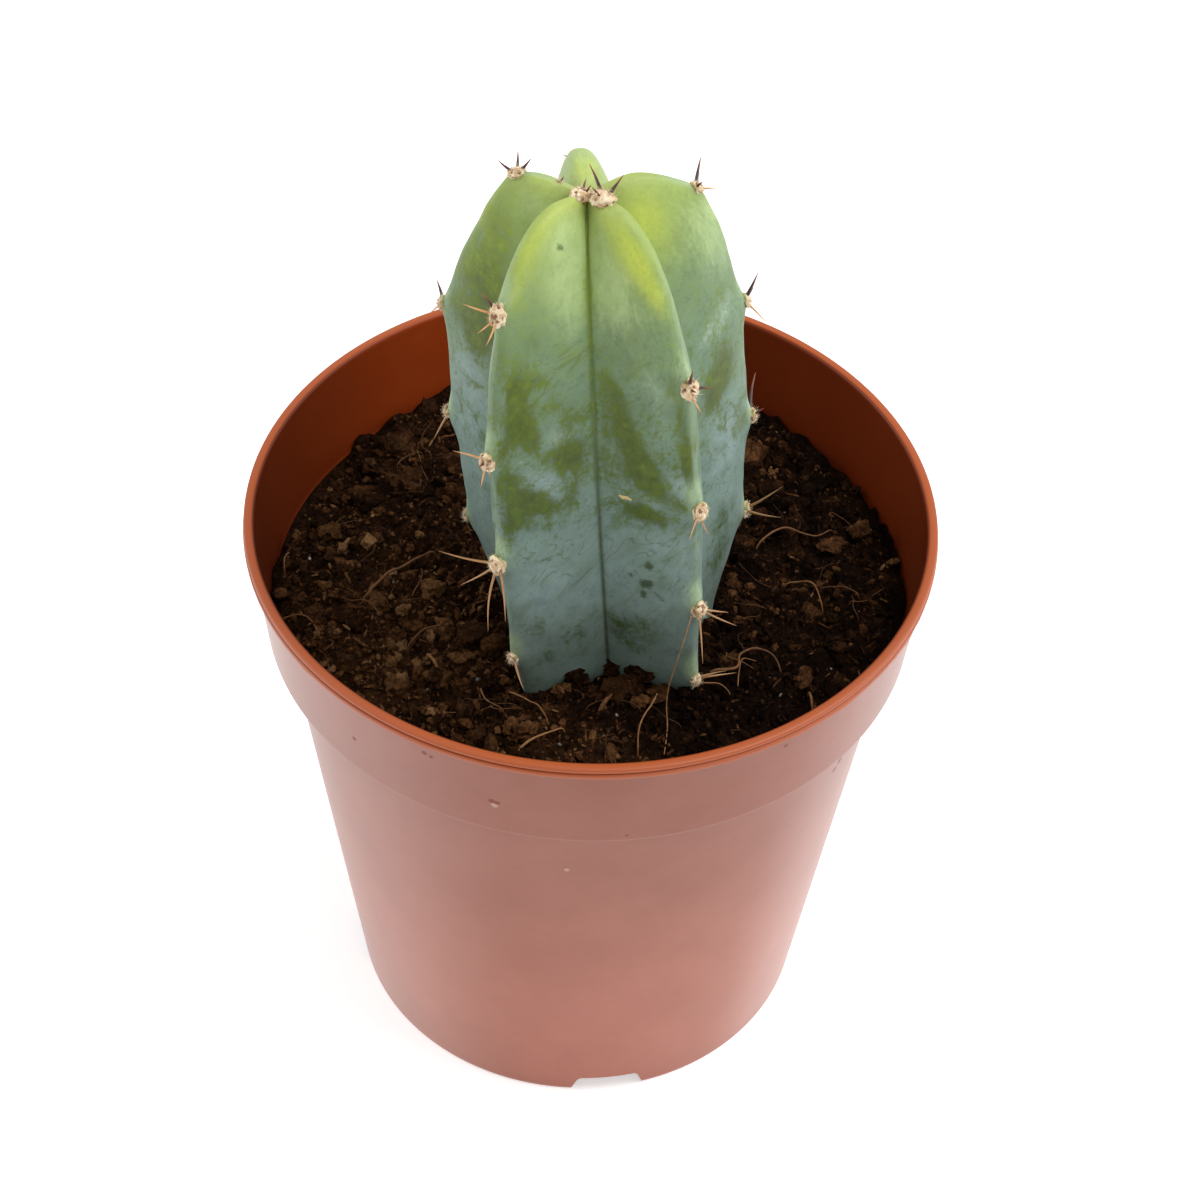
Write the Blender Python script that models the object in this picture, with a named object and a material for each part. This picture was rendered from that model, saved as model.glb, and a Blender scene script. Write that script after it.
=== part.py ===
"""A young bilberry cactus in its plastic nursery pot: pot, potting soil and the plant.

Metres, +Z up. The origin is the middle of the pot's foot, on the surface that it stands on.
The viewer stands at -Y and sees the broad panel between the two front ribs of the stem.
An azimuth is measured from -Y towards +X, in degrees.
"""

import math
import random
from collections import namedtuple

import bmesh
import bpy
from mathutils import Vector, noise

MM = 0.001
GAP = 0.3 * MM  # clearance between pieces that touch in reality
SHARP_ANGLE = math.radians(40.0)

# Pot: injection moulded, 85 mm across the lip
POT_SIDES = 64
POT_HEIGHT = 78.5 * MM
LIP_RADIUS = 42.5 * MM
LIP_WIDTH = 1.4 * MM
LIP_BEAD = 1.5 * MM  # height of the upper bead
LOWER_BEAD = 1.3 * MM  # height of the thinner bead under it
BEAD_CREASE = 0.55 * MM
WALL = 0.85 * MM
COLLAR_TOP_RADIUS = 41.7 * MM
COLLAR_FOOT_RADIUS = 40.3 * MM
COLLAR_DEPTH = 15.0 * MM
BODY_TOP_RADIUS = 38.25 * MM
FOOT_RADIUS = 29.75 * MM
FOOT_LAND = 1.2 * MM
FLOOR_RISE = 3.4 * MM
FLOOR_THICKNESS = 1.0 * MM
NOTCH_COUNT = 4
NOTCH_AZIMUTH = 9.0
NOTCH_WIDTH = 10.4 * MM
NOTCH_HEIGHT = 3.0 * MM
DRAIN_RADIUS = 3.5 * MM
DRAIN_CIRCLE = 18.0 * MM

# Soil: level at the stem, lower along the wall, a small heap against the front of the stem
SOIL_LEVEL = 69.0 * MM
SOIL_RADIUS = 38.6 * MM
SOIL_FLAT_RADIUS = 24.0 * MM  # beyond this the surface falls away towards the wall
SOIL_WALL_DROP = 2.0 * MM
SOIL_HEAP = 2.8 * MM
SOIL_HEAP_SPREAD = 12.0 * MM
# Height and width of the surface's uneven patches, large and small
SOIL_PATCHES = ((0.8 * MM, 9.0 * MM), (0.7 * MM, 4.0 * MM))
SOIL_RINGS = 13
SOIL_STEM_CLEARANCE = 1.4 * GAP
CRUMB_COUNT = 44
CRUMB_RADIUS = (1.0 * MM, 2.3 * MM)
FIBRE_COUNT = 10
FIBRE_RADIUS = 0.38 * MM
FIBRE_LENGTH = (7.0 * MM, 12.0 * MM)
FIBRE_ARCH = (0.8 * MM, 1.8 * MM)
FIBRE_ROOT = 0.9 * MM  # how deep both ends of a fibre run into the soil
FIBRE_STEPS = 5
SOIL_SEED = 11

# Stem: its base centre at soil level, and how far it leans for each metre of height
STEM_BASE = Vector((2.8 * MM, -9.95 * MM, SOIL_LEVEL))
STEM_LEAN = Vector((-0.067, 0.0, 1.0))
STEM_REACH = 17.5 * MM  # clear radius round the stem at soil level
HEAP_CENTRE = STEM_BASE + Vector((3.0 * MM, -14.0 * MM, 0.0))
RING_SPACING = 3.1 * MM
# Across a rib from crest (0) to groove (1)
RIB_STEPS = (0.0, 0.13, 0.36, 0.66, 1.0)
# A rib's section: how blunt its crest is, how hollow its flank, and the power by which the
# surface falls from crest to groove; the second value is what the crown adds to the first
CREST_ROUNDING = (0.13, 0.25)
FLANK_HOLLOW = (0.5, 0.25)
FLANK_FALL = (1.5, 1.1)
CROWN_REACH = 22.0 * MM

# The stem's outline from the growing tip down to the buried end, in millimetres:
# crest radius, crest height over the soil, groove radius, groove height
OUTLINE = (
    (0.0, 66.2, 0.0, 66.2),
    (3.0, 67.3, 1.5, 65.4),
    (6.2, 67.7, 3.5, 64.2),
    (9.2, 66.4, 5.0, 62.2),
    (12.0, 63.4, 6.6, 59.2),
    (14.3, 58.8, 8.0, 55.8),
    (16.0, 53.3, 9.1, 51.8),
    (17.3, 46.5, 10.0, 46.5),
    (17.8, 39.5, 10.8, 39.5),
    (17.9, 31.0, 11.2, 31.0),
    (17.5, 21.0, 11.0, 21.0),
    (16.8, 11.0, 10.4, 11.0),
    (15.9, 2.0, 9.6, 2.0),
    (14.4, -6.0, 8.8, -6.0),
    (11.6, -13.0, 7.4, -13.0),
    (6.4, -18.0, 4.4, -18.0),
    (0.0, -19.5, 0.0, -19.5),
)

# How one rib differs from the shared outline: its azimuth, its girth as a factor, and in
# millimetres how far its shoulder and its foot are drawn in, how far its crown is let down, and
# the distance of each areole from the growing tip along the crest
Rib = namedtuple("Rib", "azimuth girth shoulder foot crown areoles")

# The ribs in order round the stem
RIBS = {
    "front_left": Rib(-38.6, 1.015, 0.0, 0.0, 0.0, (1.6, 19.0, 38.2, 54.2, 70.5)),
    "front_right": Rib(38.9, 0.985, 0.0, 0.0, 0.0, (3.8, 27.6, 45.0, 61.2, 74.0)),
    "back_right": Rib(109.5, 1.0, 0.2, 2.4, -0.1, (12.5, 31.2, 48.8, 63.8)),
    "back": Rib(187.0, 0.98, 0.2, 1.5, 1.1, (17.0, 33.0, 49.0, 63.5)),
    "back_left": Rib(-104.6, 0.99, 1.8, 2.0, 0.2, (3.0, 7.6, 31.8, 48.4, 64.9)),
}
SHOULDER_AT = 17.0 * MM
SHOULDER_SPREAD = 7.0 * MM
CROWN_AT = 7.5 * MM
CROWN_SPREAD = 9.0 * MM
FOOT_AT = 79.0 * MM
FOOT_SPREAD = 10.0 * MM

# Areoles: woolly cushions on small bumps of the crest
AREOLE_BUMP = 0.6 * MM
AREOLE_SPREAD = 2.6 * MM
AREOLE_WIDTH = 1.35 * MM
AREOLE_LENGTH = 1.5 * MM
AREOLE_RISE = 1.2 * MM
AREOLE_BUMP_WIDTH = 0.3  # share of the rib's flank that the bump takes up
YOUNG_SIZE = 0.55  # size of an areole at the growing tip, as a share of a grown one
GROWN_AT = 18.0  # distance from the growing tip, in mm, from which areoles are full size

# Spines: base radius, and how deep their roots sit in the areole
SPINE_RADIUS = 0.27 * MM
SPINE_ROOT = 0.9 * MM

# The spines of each areole, from the growing tip down: length in mm, which way the spine points
# round its areole, clockwise from the growing tip, and how far it stands up, in degrees
SPINES = {
    "front_left": (
        ((2.0, 330, 50), (2.0, 100, 60)),
        ((4.0, 270, 25), (3.0, 320, 25), (3.0, 205, 30), (3.5, 170, 30), (2.0, 50, 65)),
        ((4.0, 280, 25), (3.0, 175, 30), (2.0, 30, 70)),
        ((7.0, 275, 25), (6.0, 225, 25), (8.0, 170, 30), (6.5, 150, 25)),
        ((4.0, 115, 30),),
    ),
    "front_right": (
        ((5.0, 20, 30), (3.5, 90, 30), (2.0, 320, 55), (2.0, 245, 55)),
        ((4.0, 350, 30), (2.5, 100, 30), (3.0, 180, 30), (2.5, 295, 30), (2.0, 320, 70)),
        ((4.0, 250, 30), (3.0, 180, 30)),
        ((3.5, 105, 30), (5.5, 130, 25), (6.5, 200, 30)),
        ((5.0, 85, 25), (4.0, 60, 30)),
    ),
    "back_right": (
        ((3.5, 75, 45), (2.5, 200, 40), (2.0, 310, 40)),
        ((4.0, 0, 30), (3.5, 210, 25), (2.5, 100, 40)),
        ((5.0, 50, 20), (2.0, 330, 35)),
        ((6.5, 335, 30), (5.5, 295, 30), (3.0, 130, 35)),
    ),
    "back": (
        ((3.0, 40, 20), (2.0, 310, 45), (3.0, 230, 30), (3.0, 145, 30)),
        ((3.5, 280, 30), (3.5, 85, 35), (3.0, 5, 35), (3.5, 205, 25), (3.5, 150, 30)),
        ((3.5, 275, 30), (3.5, 95, 30), (4.0, 205, 25), (4.5, 155, 25)),
        ((3.5, 280, 30), (4.0, 75, 30), (3.0, 10, 40)),
    ),
    "back_left": (
        ((1.5, 315, 60),),
        ((2.5, 345, 30), (2.5, 275, 40), (2.5, 195, 40)),
        ((3.0, 295, 30), (2.5, 220, 30), (3.0, 190, 30)),
        ((4.5, 165, 25), (4.0, 215, 25)),
        ((2.5, 310, 40),),
    ),
}


def clear_scene():
    for obj in list(bpy.data.objects):
        bpy.data.objects.remove(obj, do_unlink=True)


def make_material(name, colour, roughness):
    material = bpy.data.materials.new(name)
    material.use_nodes = True
    shader = material.node_tree.nodes["Principled BSDF"]
    shader.inputs["Base Color"].default_value = (*colour, 1.0)
    shader.inputs["Roughness"].default_value = roughness
    shader.inputs["Metallic"].default_value = 0.0
    return material


def add_object(name, mesh, material=None):
    obj = bpy.data.objects.new(name, mesh)
    bpy.context.scene.collection.objects.link(obj)
    if material:
        mesh.materials.append(material)
    return obj


def shade(mesh):
    """Smooth shading, broken at real edges."""
    mesh.shade_smooth()
    mesh.set_sharp_from_angle(angle=SHARP_ANGLE)


def mesh_from(name, shape):
    """A mesh from a bmesh, with its faces pointing outwards."""
    bmesh.ops.recalc_face_normals(shape, faces=shape.faces)
    mesh = bpy.data.meshes.new(name)
    shape.to_mesh(mesh)
    shape.free()
    shade(mesh)
    return mesh


def make_cutter(name, shape):
    cutter = add_object(name, mesh_from(name, shape))
    cutter.hide_render = True
    cutter.display_type = "WIRE"
    return cutter


def cut(obj, cutter):
    boolean = obj.modifiers.new(cutter.name, "BOOLEAN")
    boolean.operation = "DIFFERENCE"
    boolean.object = cutter


def heading(azimuth):
    """The level unit vector that points to an azimuth."""
    angle = math.radians(azimuth)
    return Vector((math.sin(angle), -math.cos(angle), 0.0))


def fuse(obj, repeats):
    """Joins small repeats to the object that they grow from, as one closed solid."""
    group = bpy.data.collections.new(obj.name + "_repeats")
    bpy.context.scene.collection.children.link(group)
    for repeat in repeats:
        group.objects.link(repeat)
        bpy.context.scene.collection.objects.unlink(repeat)
    union = obj.modifiers.new("fused_repeats", "BOOLEAN")
    union.operation = "UNION"
    union.operand_type = "COLLECTION"
    union.collection = group
    bpy.context.view_layer.update()
    graph = bpy.context.evaluated_depsgraph_get()
    fused = bpy.data.meshes.new_from_object(obj.evaluated_get(graph))
    shade(fused)
    obj.modifiers.remove(union)
    obj.data = fused
    for repeat in repeats:
        bpy.data.objects.remove(repeat, do_unlink=True)
    bpy.data.collections.remove(group)


# Pot


def cavity_outline():
    """The pot's inside from the floor's edge up to the lip, as (radius, height)."""
    floor_top = FLOOR_RISE + FLOOR_THICKNESS
    slope = (BODY_TOP_RADIUS - FOOT_RADIUS) / (POT_HEIGHT - COLLAR_DEPTH)
    collar_foot = POT_HEIGHT - COLLAR_DEPTH
    corner = 1.0 * MM
    step_top = collar_foot + WALL
    return [
        (FOOT_RADIUS + slope * floor_top - WALL - corner, floor_top),
        (FOOT_RADIUS + slope * (floor_top + corner) - WALL, floor_top + corner),
        (FOOT_RADIUS + slope * step_top - WALL, step_top),
        (COLLAR_FOOT_RADIUS - WALL, step_top + 0.2 * MM),
        (LIP_RADIUS - LIP_WIDTH - 0.2 * MM, POT_HEIGHT - LIP_BEAD),
    ]


def lip_outline():
    """The lip from its inner edge over the top and down both beads, as (radius, height)."""
    upper_foot = POT_HEIGHT - LIP_BEAD
    lower_foot = upper_foot - LOWER_BEAD
    return [
        (LIP_RADIUS - LIP_WIDTH, POT_HEIGHT - 0.35 * MM),
        (LIP_RADIUS - 0.75 * LIP_WIDTH, POT_HEIGHT),
        (LIP_RADIUS - 0.3 * LIP_WIDTH, POT_HEIGHT),
        (LIP_RADIUS, POT_HEIGHT - 0.45 * MM),
        (LIP_RADIUS, upper_foot + 0.25 * MM),
        (LIP_RADIUS - BEAD_CREASE, upper_foot),
        (LIP_RADIUS - 0.35 * MM, upper_foot - 0.45 * MM),
        (LIP_RADIUS - 0.4 * MM, lower_foot + 0.3 * MM),
        (COLLAR_TOP_RADIUS, lower_foot),
    ]


def outer_outline():
    """The pot's outside from the collar down to the foot and in under the floor."""
    collar_foot = POT_HEIGHT - COLLAR_DEPTH
    edge = 0.4 * MM
    land_inner = FOOT_RADIUS - FOOT_LAND
    return [
        (COLLAR_FOOT_RADIUS, collar_foot + edge),
        (COLLAR_FOOT_RADIUS - edge, collar_foot),
        (BODY_TOP_RADIUS, collar_foot),
        (FOOT_RADIUS + 0.1 * MM, 0.8 * MM),
        (FOOT_RADIUS - 0.3 * MM, 0.0),
        (land_inner, 0.0),
        (land_inner, FLOOR_RISE),
        (0.0, FLOOR_RISE),
    ]


def notch_cutters():
    """Wedges that open the foot ring, narrower at the top."""
    shape = bmesh.new()
    inner = FOOT_RADIUS - 3.0 * MM
    outer = FOOT_RADIUS + 3.0 * MM
    for index in range(NOTCH_COUNT):
        out = heading(NOTCH_AZIMUTH + index * 360.0 / NOTCH_COUNT)
        side = Vector((-out.y, out.x, 0.0))
        rings = []
        for reach in (inner, outer):
            corners = []
            for across, up in ((-0.5, -1.0), (0.5, -1.0), (0.38, 1.0), (-0.38, 1.0)):
                height = NOTCH_HEIGHT if up > 0 else -1.0 * MM
                corner = out * reach + side * (across * NOTCH_WIDTH)
                corners.append(shape.verts.new(corner + Vector((0.0, 0.0, height))))
            rings.append(corners)
        shape.faces.new(rings[0])
        shape.faces.new(reversed(rings[1]))
        for a in range(4):
            b = (a + 1) % 4
            shape.faces.new((rings[0][b], rings[0][a], rings[1][a], rings[1][b]))
    return make_cutter("foot_notch_cutters", shape)


def drain_cutters():
    shape = bmesh.new()
    for index in range(NOTCH_COUNT):
        spot = heading(NOTCH_AZIMUTH + (index + 0.5) * 360.0 / NOTCH_COUNT) * DRAIN_CIRCLE
        made = bmesh.ops.create_cone(
            shape,
            cap_ends=True,
            segments=16,
            radius1=DRAIN_RADIUS,
            radius2=DRAIN_RADIUS,
            depth=6.0 * MM,
        )
        bmesh.ops.translate(
            shape,
            verts=made["verts"],
            vec=spot + Vector((0.0, 0.0, FLOOR_RISE + 0.5 * FLOOR_THICKNESS)),
        )
    return make_cutter("drain_hole_cutters", shape)


def make_pot(material):
    floor_top = FLOOR_RISE + FLOOR_THICKNESS
    outline = [(0.0, floor_top)] + cavity_outline() + lip_outline() + outer_outline()
    mesh = bpy.data.meshes.new("pot")
    points = [(radius, 0.0, height) for radius, height in outline]
    mesh.from_pydata(points, [(i, i + 1) for i in range(len(points) - 1)], [])
    pot = add_object("pot", mesh, material)
    turn = pot.modifiers.new("turned_profile", "SCREW")
    turn.steps = POT_SIDES
    turn.render_steps = POT_SIDES
    turn.use_merge_vertices = True
    turn.merge_threshold = 0.00001
    turn.use_smooth_shade = True
    cut(pot, notch_cutters())
    cut(pot, drain_cutters())
    return pot


# Stem


def spline(rows, place):
    """The row of values at a place between rows, on a smooth curve through them all."""
    last = len(rows) - 1
    index = min(int(place), last - 1)
    f = place - index
    before = rows[max(index - 1, 0)]
    a = rows[index]
    b = rows[index + 1]
    after = rows[min(index + 2, last)]
    return [
        0.5
        * (
            2 * q
            + (r - p) * f
            + (2 * p - 5 * q + 4 * r - s) * f * f
            + (3 * q - p - 3 * r + s) * f * f * f
        )
        for p, q, r, s in zip(before, a, b, after)
    ]


def crest_walk():
    """Distances from the growing tip along the shared crest, with the outline at each."""
    steps_per_row = 12
    steps = (len(OUTLINE) - 1) * steps_per_row
    rows = [spline(OUTLINE, step / steps_per_row) for step in range(steps + 1)]
    walked = [0.0]
    for near, far in zip(rows, rows[1:]):
        walked.append(walked[-1] + math.hypot(far[0] - near[0], far[1] - near[1]))
    return [distance * MM for distance in walked], [[value * MM for value in row] for row in rows]


WALKED, WALK_ROWS = crest_walk()
CREST_LENGTH = WALKED[-1]


def outline_at(distance):
    """Crest radius and height, groove radius and height at a distance from the growing tip."""
    for index in range(len(WALKED) - 1):
        if distance <= WALKED[index + 1]:
            break
    f = (distance - WALKED[index]) / (WALKED[index + 1] - WALKED[index])
    return [a + (b - a) * f for a, b in zip(WALK_ROWS[index], WALK_ROWS[index + 1])]


def bell(distance, centre, spread):
    return math.exp(-(((distance - centre) / spread) ** 2))


def soften(w, rounding):
    """w from 0 to 1, rounded near 0 so that the crest isn't a knife edge."""
    return (math.sqrt(w * w + rounding * rounding) - rounding) / (
        math.sqrt(1.0 + rounding * rounding) - rounding
    )


def half_angles(name):
    """Half the angle to the rib on either side: towards lower azimuths, then higher."""
    names = list(RIBS)
    index = names.index(name)
    azimuth = RIBS[name].azimuth
    lower = RIBS[names[index - 1]].azimuth
    higher = RIBS[names[(index + 1) % len(names)]].azimuth
    return ((azimuth - lower) % 360.0) / 2, ((higher - azimuth) % 360.0) / 2


def skin_point(name, w, distance):
    """The stem's surface on a rib: w runs from -1 in one groove over 0 on the crest to 1."""
    rib = RIBS[name]
    crest_radius, crest_height, groove_radius, groove_height = outline_at(distance)
    crest_radius *= rib.girth
    crest_radius -= rib.shoulder * MM * bell(distance, SHOULDER_AT, SHOULDER_SPREAD)
    crest_radius -= rib.foot * MM * bell(distance, FOOT_AT, FOOT_SPREAD)
    crest_height -= rib.crown * MM * bell(distance, CROWN_AT, CROWN_SPREAD)
    on_crest = bell(w, 0.0, AREOLE_BUMP_WIDTH)
    for place in rib.areoles:
        bump = AREOLE_BUMP * on_crest * bell(distance, place * MM, AREOLE_SPREAD)
        crest_radius += bump * min(1.0, distance / CROWN_AT)
    crown_share = bell(distance, 0.0, CROWN_REACH)
    rounding, hollow, power = (
        low + added * crown_share for low, added in (CREST_ROUNDING, FLANK_HOLLOW, FLANK_FALL)
    )
    share = abs(w)
    fall = (1.0 - hollow) * soften(share, rounding) + hollow * share * share
    half = math.radians(half_angles(name)[0 if w < 0 else 1])
    groove_along = groove_radius * math.cos(half)
    groove_across = groove_radius * math.sin(half)
    out = heading(rib.azimuth)
    side = Vector((-out.y, out.x, 0.0))
    along = crest_radius + (groove_along - crest_radius) * fall
    height = crest_height + (groove_height - crest_height) * share**power
    point = out * along + side * (math.copysign(groove_across * share, w))
    return STEM_BASE + STEM_LEAN * height + point


def make_skin():
    """The ribbed stem without its areoles and spines, from the growing tip to the buried end."""
    shape = bmesh.new()
    ring_count = round(CREST_LENGTH / RING_SPACING)
    tip = shape.verts.new(STEM_BASE + STEM_LEAN * (OUTLINE[0][1] * MM))
    root = shape.verts.new(STEM_BASE + STEM_LEAN * (OUTLINE[-1][1] * MM))
    rings = []
    for row in range(1, ring_count):
        distance = CREST_LENGTH * row / ring_count
        ring = []
        for name in RIBS:
            for w in [-step for step in reversed(RIB_STEPS[1:-1])] + list(RIB_STEPS):
                ring.append(shape.verts.new(skin_point(name, w, distance)))
        rings.append(ring)
    count = len(rings[0])
    for a in range(count):
        b = (a + 1) % count
        shape.faces.new((tip, rings[0][a], rings[0][b]))
        shape.faces.new((root, rings[-1][b], rings[-1][a]))
        for upper, lower in zip(rings, rings[1:]):
            shape.faces.new((upper[a], lower[a], lower[b], upper[b]))
    return shape


def areole_frame(name, place):
    """Centre on the crest, the direction out of it and the direction up along it."""
    distance = place * MM
    centre = skin_point(name, 0.0, distance)
    reach = 1.5 * MM
    up = skin_point(name, 0.0, max(distance - reach, 0.0)) - skin_point(name, 0.0, distance + reach)
    up.normalize()
    level = heading(RIBS[name].azimuth)
    side = Vector((-level.y, level.x, 0.0))
    out = side.cross(up).normalized()
    return centre, out, up, side


def areole_size(place):
    """An areole's size as a share of a grown one: the young ones near the tip are small."""
    return YOUNG_SIZE + (1.0 - YOUNG_SIZE) * min(1.0, place / GROWN_AT)


def make_cushion(frame, size):
    """A woolly cushion: a small faceted dome, half sunk in the crest."""
    centre, out, up, side = frame
    shape = bmesh.new()
    bmesh.ops.create_icosphere(shape, subdivisions=1, radius=1.0)
    for vert in shape.verts:
        x, y, z = vert.co
        vert.co = (
            centre
            + side * (x * AREOLE_WIDTH * size)
            + up * (y * AREOLE_LENGTH * size)
            + out * (z * AREOLE_RISE * size)
        )
    return add_object("cushion", mesh_from("cushion", shape))


def make_spine(frame, length, turn, rise):
    """A three-sided needle rooted in its cushion."""
    centre, out, up, side = frame
    turn = math.radians(turn)
    rise = math.radians(rise)
    flat = up * math.cos(turn) + side * math.sin(turn)
    direction = flat * math.cos(rise) + out * math.sin(rise)
    root = centre - out * SPINE_ROOT + direction * (0.3 * SPINE_ROOT)
    across = direction.cross(up if abs(direction.dot(up)) < 0.9 else side).normalized()
    other = direction.cross(across)
    shape = bmesh.new()
    foot = []
    for corner in range(3):
        angle = 2.0 * math.pi * corner / 3
        offset = across * math.cos(angle) + other * math.sin(angle)
        foot.append(shape.verts.new(root + offset * SPINE_RADIUS))
    point = shape.verts.new(centre + direction * length)
    shape.faces.new(foot)
    for corner in range(3):
        shape.faces.new((foot[corner], foot[(corner + 1) % 3], point))
    return add_object("spine", mesh_from("spine", shape))


def make_stem(material):
    stem = add_object("cactus_stem", mesh_from("cactus_stem", make_skin()), material)
    repeats = []
    for name, rib in RIBS.items():
        for place, spines in zip(rib.areoles, SPINES[name]):
            frame = areole_frame(name, place)
            repeats.append(make_cushion(frame, areole_size(place)))
            for length, turn, rise in spines:
                repeats.append(make_spine(frame, length * MM, turn, rise))
    fuse(stem, repeats)
    return stem


# Soil


def soil_height(x, y):
    """Height of the soil's surface, uneven by a fixed noise."""
    radius = math.hypot(x, y)
    wall_share = max(0.0, (radius - SOIL_FLAT_RADIUS) / (SOIL_RADIUS - SOIL_FLAT_RADIUS))
    height = SOIL_LEVEL - SOIL_WALL_DROP * wall_share**2
    away = math.hypot(x - HEAP_CENTRE.x, y - HEAP_CENTRE.y)
    height += SOIL_HEAP * bell(away, 0.0, SOIL_HEAP_SPREAD)
    for rise, width in SOIL_PATCHES:
        height += rise * noise.noise(Vector((x, y, rise)) / width)
    return height


def make_soil_body():
    shape = bmesh.new()
    walls = [(radius - GAP, height + GAP) for radius, height in cavity_outline()[:4]]
    step_radius, step_height = walls[-1]
    lip_radius, lip_height = cavity_outline()[4]
    rim_share = (SOIL_LEVEL - SOIL_WALL_DROP - step_height) / (lip_height - step_height)
    rim_radius = step_radius + (lip_radius - GAP - step_radius) * rim_share
    floor = shape.verts.new((0.0, 0.0, walls[0][1]))
    middle = shape.verts.new((0.0, 0.0, soil_height(0.0, 0.0)))
    rings = []
    for radius, height in walls:
        rings.append([(radius, height)] * POT_SIDES)
    for ring in range(SOIL_RINGS, 0, -1):
        radius = rim_radius * ring / SOIL_RINGS
        heights = []
        for index in range(POT_SIDES):
            angle = 2.0 * math.pi * index / POT_SIDES
            height = soil_height(radius * math.cos(angle), radius * math.sin(angle))
            heights.append((radius, height))
        rings.append(heights)
    made = []
    for ring in rings:
        verts = []
        for index, (radius, height) in enumerate(ring):
            angle = 2.0 * math.pi * index / POT_SIDES
            verts.append(shape.verts.new((radius * math.cos(angle), radius * math.sin(angle), height)))
        made.append(verts)
    for a in range(POT_SIDES):
        b = (a + 1) % POT_SIDES
        shape.faces.new((floor, made[0][b], made[0][a]))
        shape.faces.new((middle, made[-1][a], made[-1][b]))
        for lower, upper in zip(made, made[1:]):
            shape.faces.new((lower[a], lower[b], upper[b], upper[a]))
    return mesh_from("potting_soil", shape)


def make_crumb(spot, radius, draw):
    """A faceted lump of bark or peat, a little flattened, sunk to its waist."""
    shape = bmesh.new()
    bmesh.ops.create_icosphere(shape, subdivisions=1, radius=radius)
    stretch = Vector((draw.uniform(0.8, 1.5), draw.uniform(0.7, 1.1), draw.uniform(0.55, 0.85)))
    turn = draw.uniform(0.0, math.pi)
    for vert in shape.verts:
        x, y, z = (a * b * draw.uniform(0.85, 1.12) for a, b in zip(vert.co, stretch))
        vert.co = spot + Vector(
            (
                x * math.cos(turn) - y * math.sin(turn),
                x * math.sin(turn) + y * math.cos(turn),
                z,
            )
        )
    return add_object("crumb", mesh_from("crumb", shape))


def make_fibre(start, turn, length, arch):
    """A coir fibre: a three-sided strand that arches out of the soil and back in."""
    shape = bmesh.new()
    along = Vector((math.cos(turn), math.sin(turn), 0.0))
    side = Vector((-along.y, along.x, 0.0))
    rings = []
    for step in range(FIBRE_STEPS + 1):
        f = step / FIBRE_STEPS
        spot = start + along * (length * (f - 0.5)) + side * (0.12 * length * math.sin(math.pi * f))
        spot.z = soil_height(spot.x, spot.y) - FIBRE_ROOT
        spot.z += (arch + FIBRE_ROOT) * math.sin(math.pi * f)
        ring = []
        for corner in range(3):
            angle = 2.0 * math.pi * corner / 3
            offset = side * math.cos(angle) + Vector((0.0, 0.0, math.sin(angle)))
            ring.append(shape.verts.new(spot + offset * FIBRE_RADIUS))
        rings.append(ring)
    shape.faces.new(rings[0])
    shape.faces.new(reversed(rings[-1]))
    for near, far in zip(rings, rings[1:]):
        for a in range(3):
            b = (a + 1) % 3
            shape.faces.new((near[a], near[b], far[b], far[a]))
    return add_object("fibre", mesh_from("fibre", shape))


def free_spot(draw, clear_of_stem, clear_of_wall):
    """A place on the soil that is clear of the stem and of the pot's wall."""
    while True:
        x = draw.uniform(-SOIL_RADIUS, SOIL_RADIUS)
        y = draw.uniform(-SOIL_RADIUS, SOIL_RADIUS)
        if math.hypot(x, y) > SOIL_RADIUS - clear_of_wall:
            continue
        if math.hypot(x - STEM_BASE.x, y - STEM_BASE.y) > STEM_REACH + clear_of_stem:
            return x, y


def make_soil(material):
    soil = add_object("potting_soil", make_soil_body(), material)
    draw = random.Random(SOIL_SEED)
    repeats = []
    for _ in range(CRUMB_COUNT):
        radius = draw.uniform(*CRUMB_RADIUS)
        x, y = free_spot(draw, 2.0 * radius, 2.0 * radius)
        spot = Vector((x, y, soil_height(x, y) + 0.1 * radius))
        repeats.append(make_crumb(spot, radius, draw))
    for _ in range(FIBRE_COUNT):
        length = draw.uniform(*FIBRE_LENGTH)
        x, y = free_spot(draw, 0.62 * length, 0.62 * length)
        turn = draw.uniform(0.0, math.pi)
        arch = draw.uniform(*FIBRE_ARCH)
        repeats.append(make_fibre(Vector((x, y, 0.0)), turn, length, arch))
    fuse(soil, repeats)
    hole = make_skin()
    hole.normal_update()
    bmesh.ops.recalc_face_normals(hole, faces=hole.faces)
    for vert in hole.verts:
        vert.co += vert.normal * SOIL_STEM_CLEARANCE
    cut(soil, make_cutter("stem_hole_cutter", hole))
    return soil


def main():
    clear_scene()
    make_pot(make_material("terracotta_plastic", (0.42, 0.14, 0.08), 0.42))
    make_soil(make_material("peat_and_bark", (0.035, 0.018, 0.010), 0.95))
    make_stem(make_material("waxy_green_skin", (0.16, 0.27, 0.12), 0.45))


main()
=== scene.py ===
"""A young bilberry cactus in its plastic nursery pot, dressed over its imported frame.

Metres, +Z up. The viewer stands at -Y and sees the broad panel between the two front ribs.
An azimuth is measured from -Y towards +X, in degrees.
"""

import math
from collections import namedtuple

import bmesh
import bpy
import numpy as np
from mathutils import Matrix, Vector, noise


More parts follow.
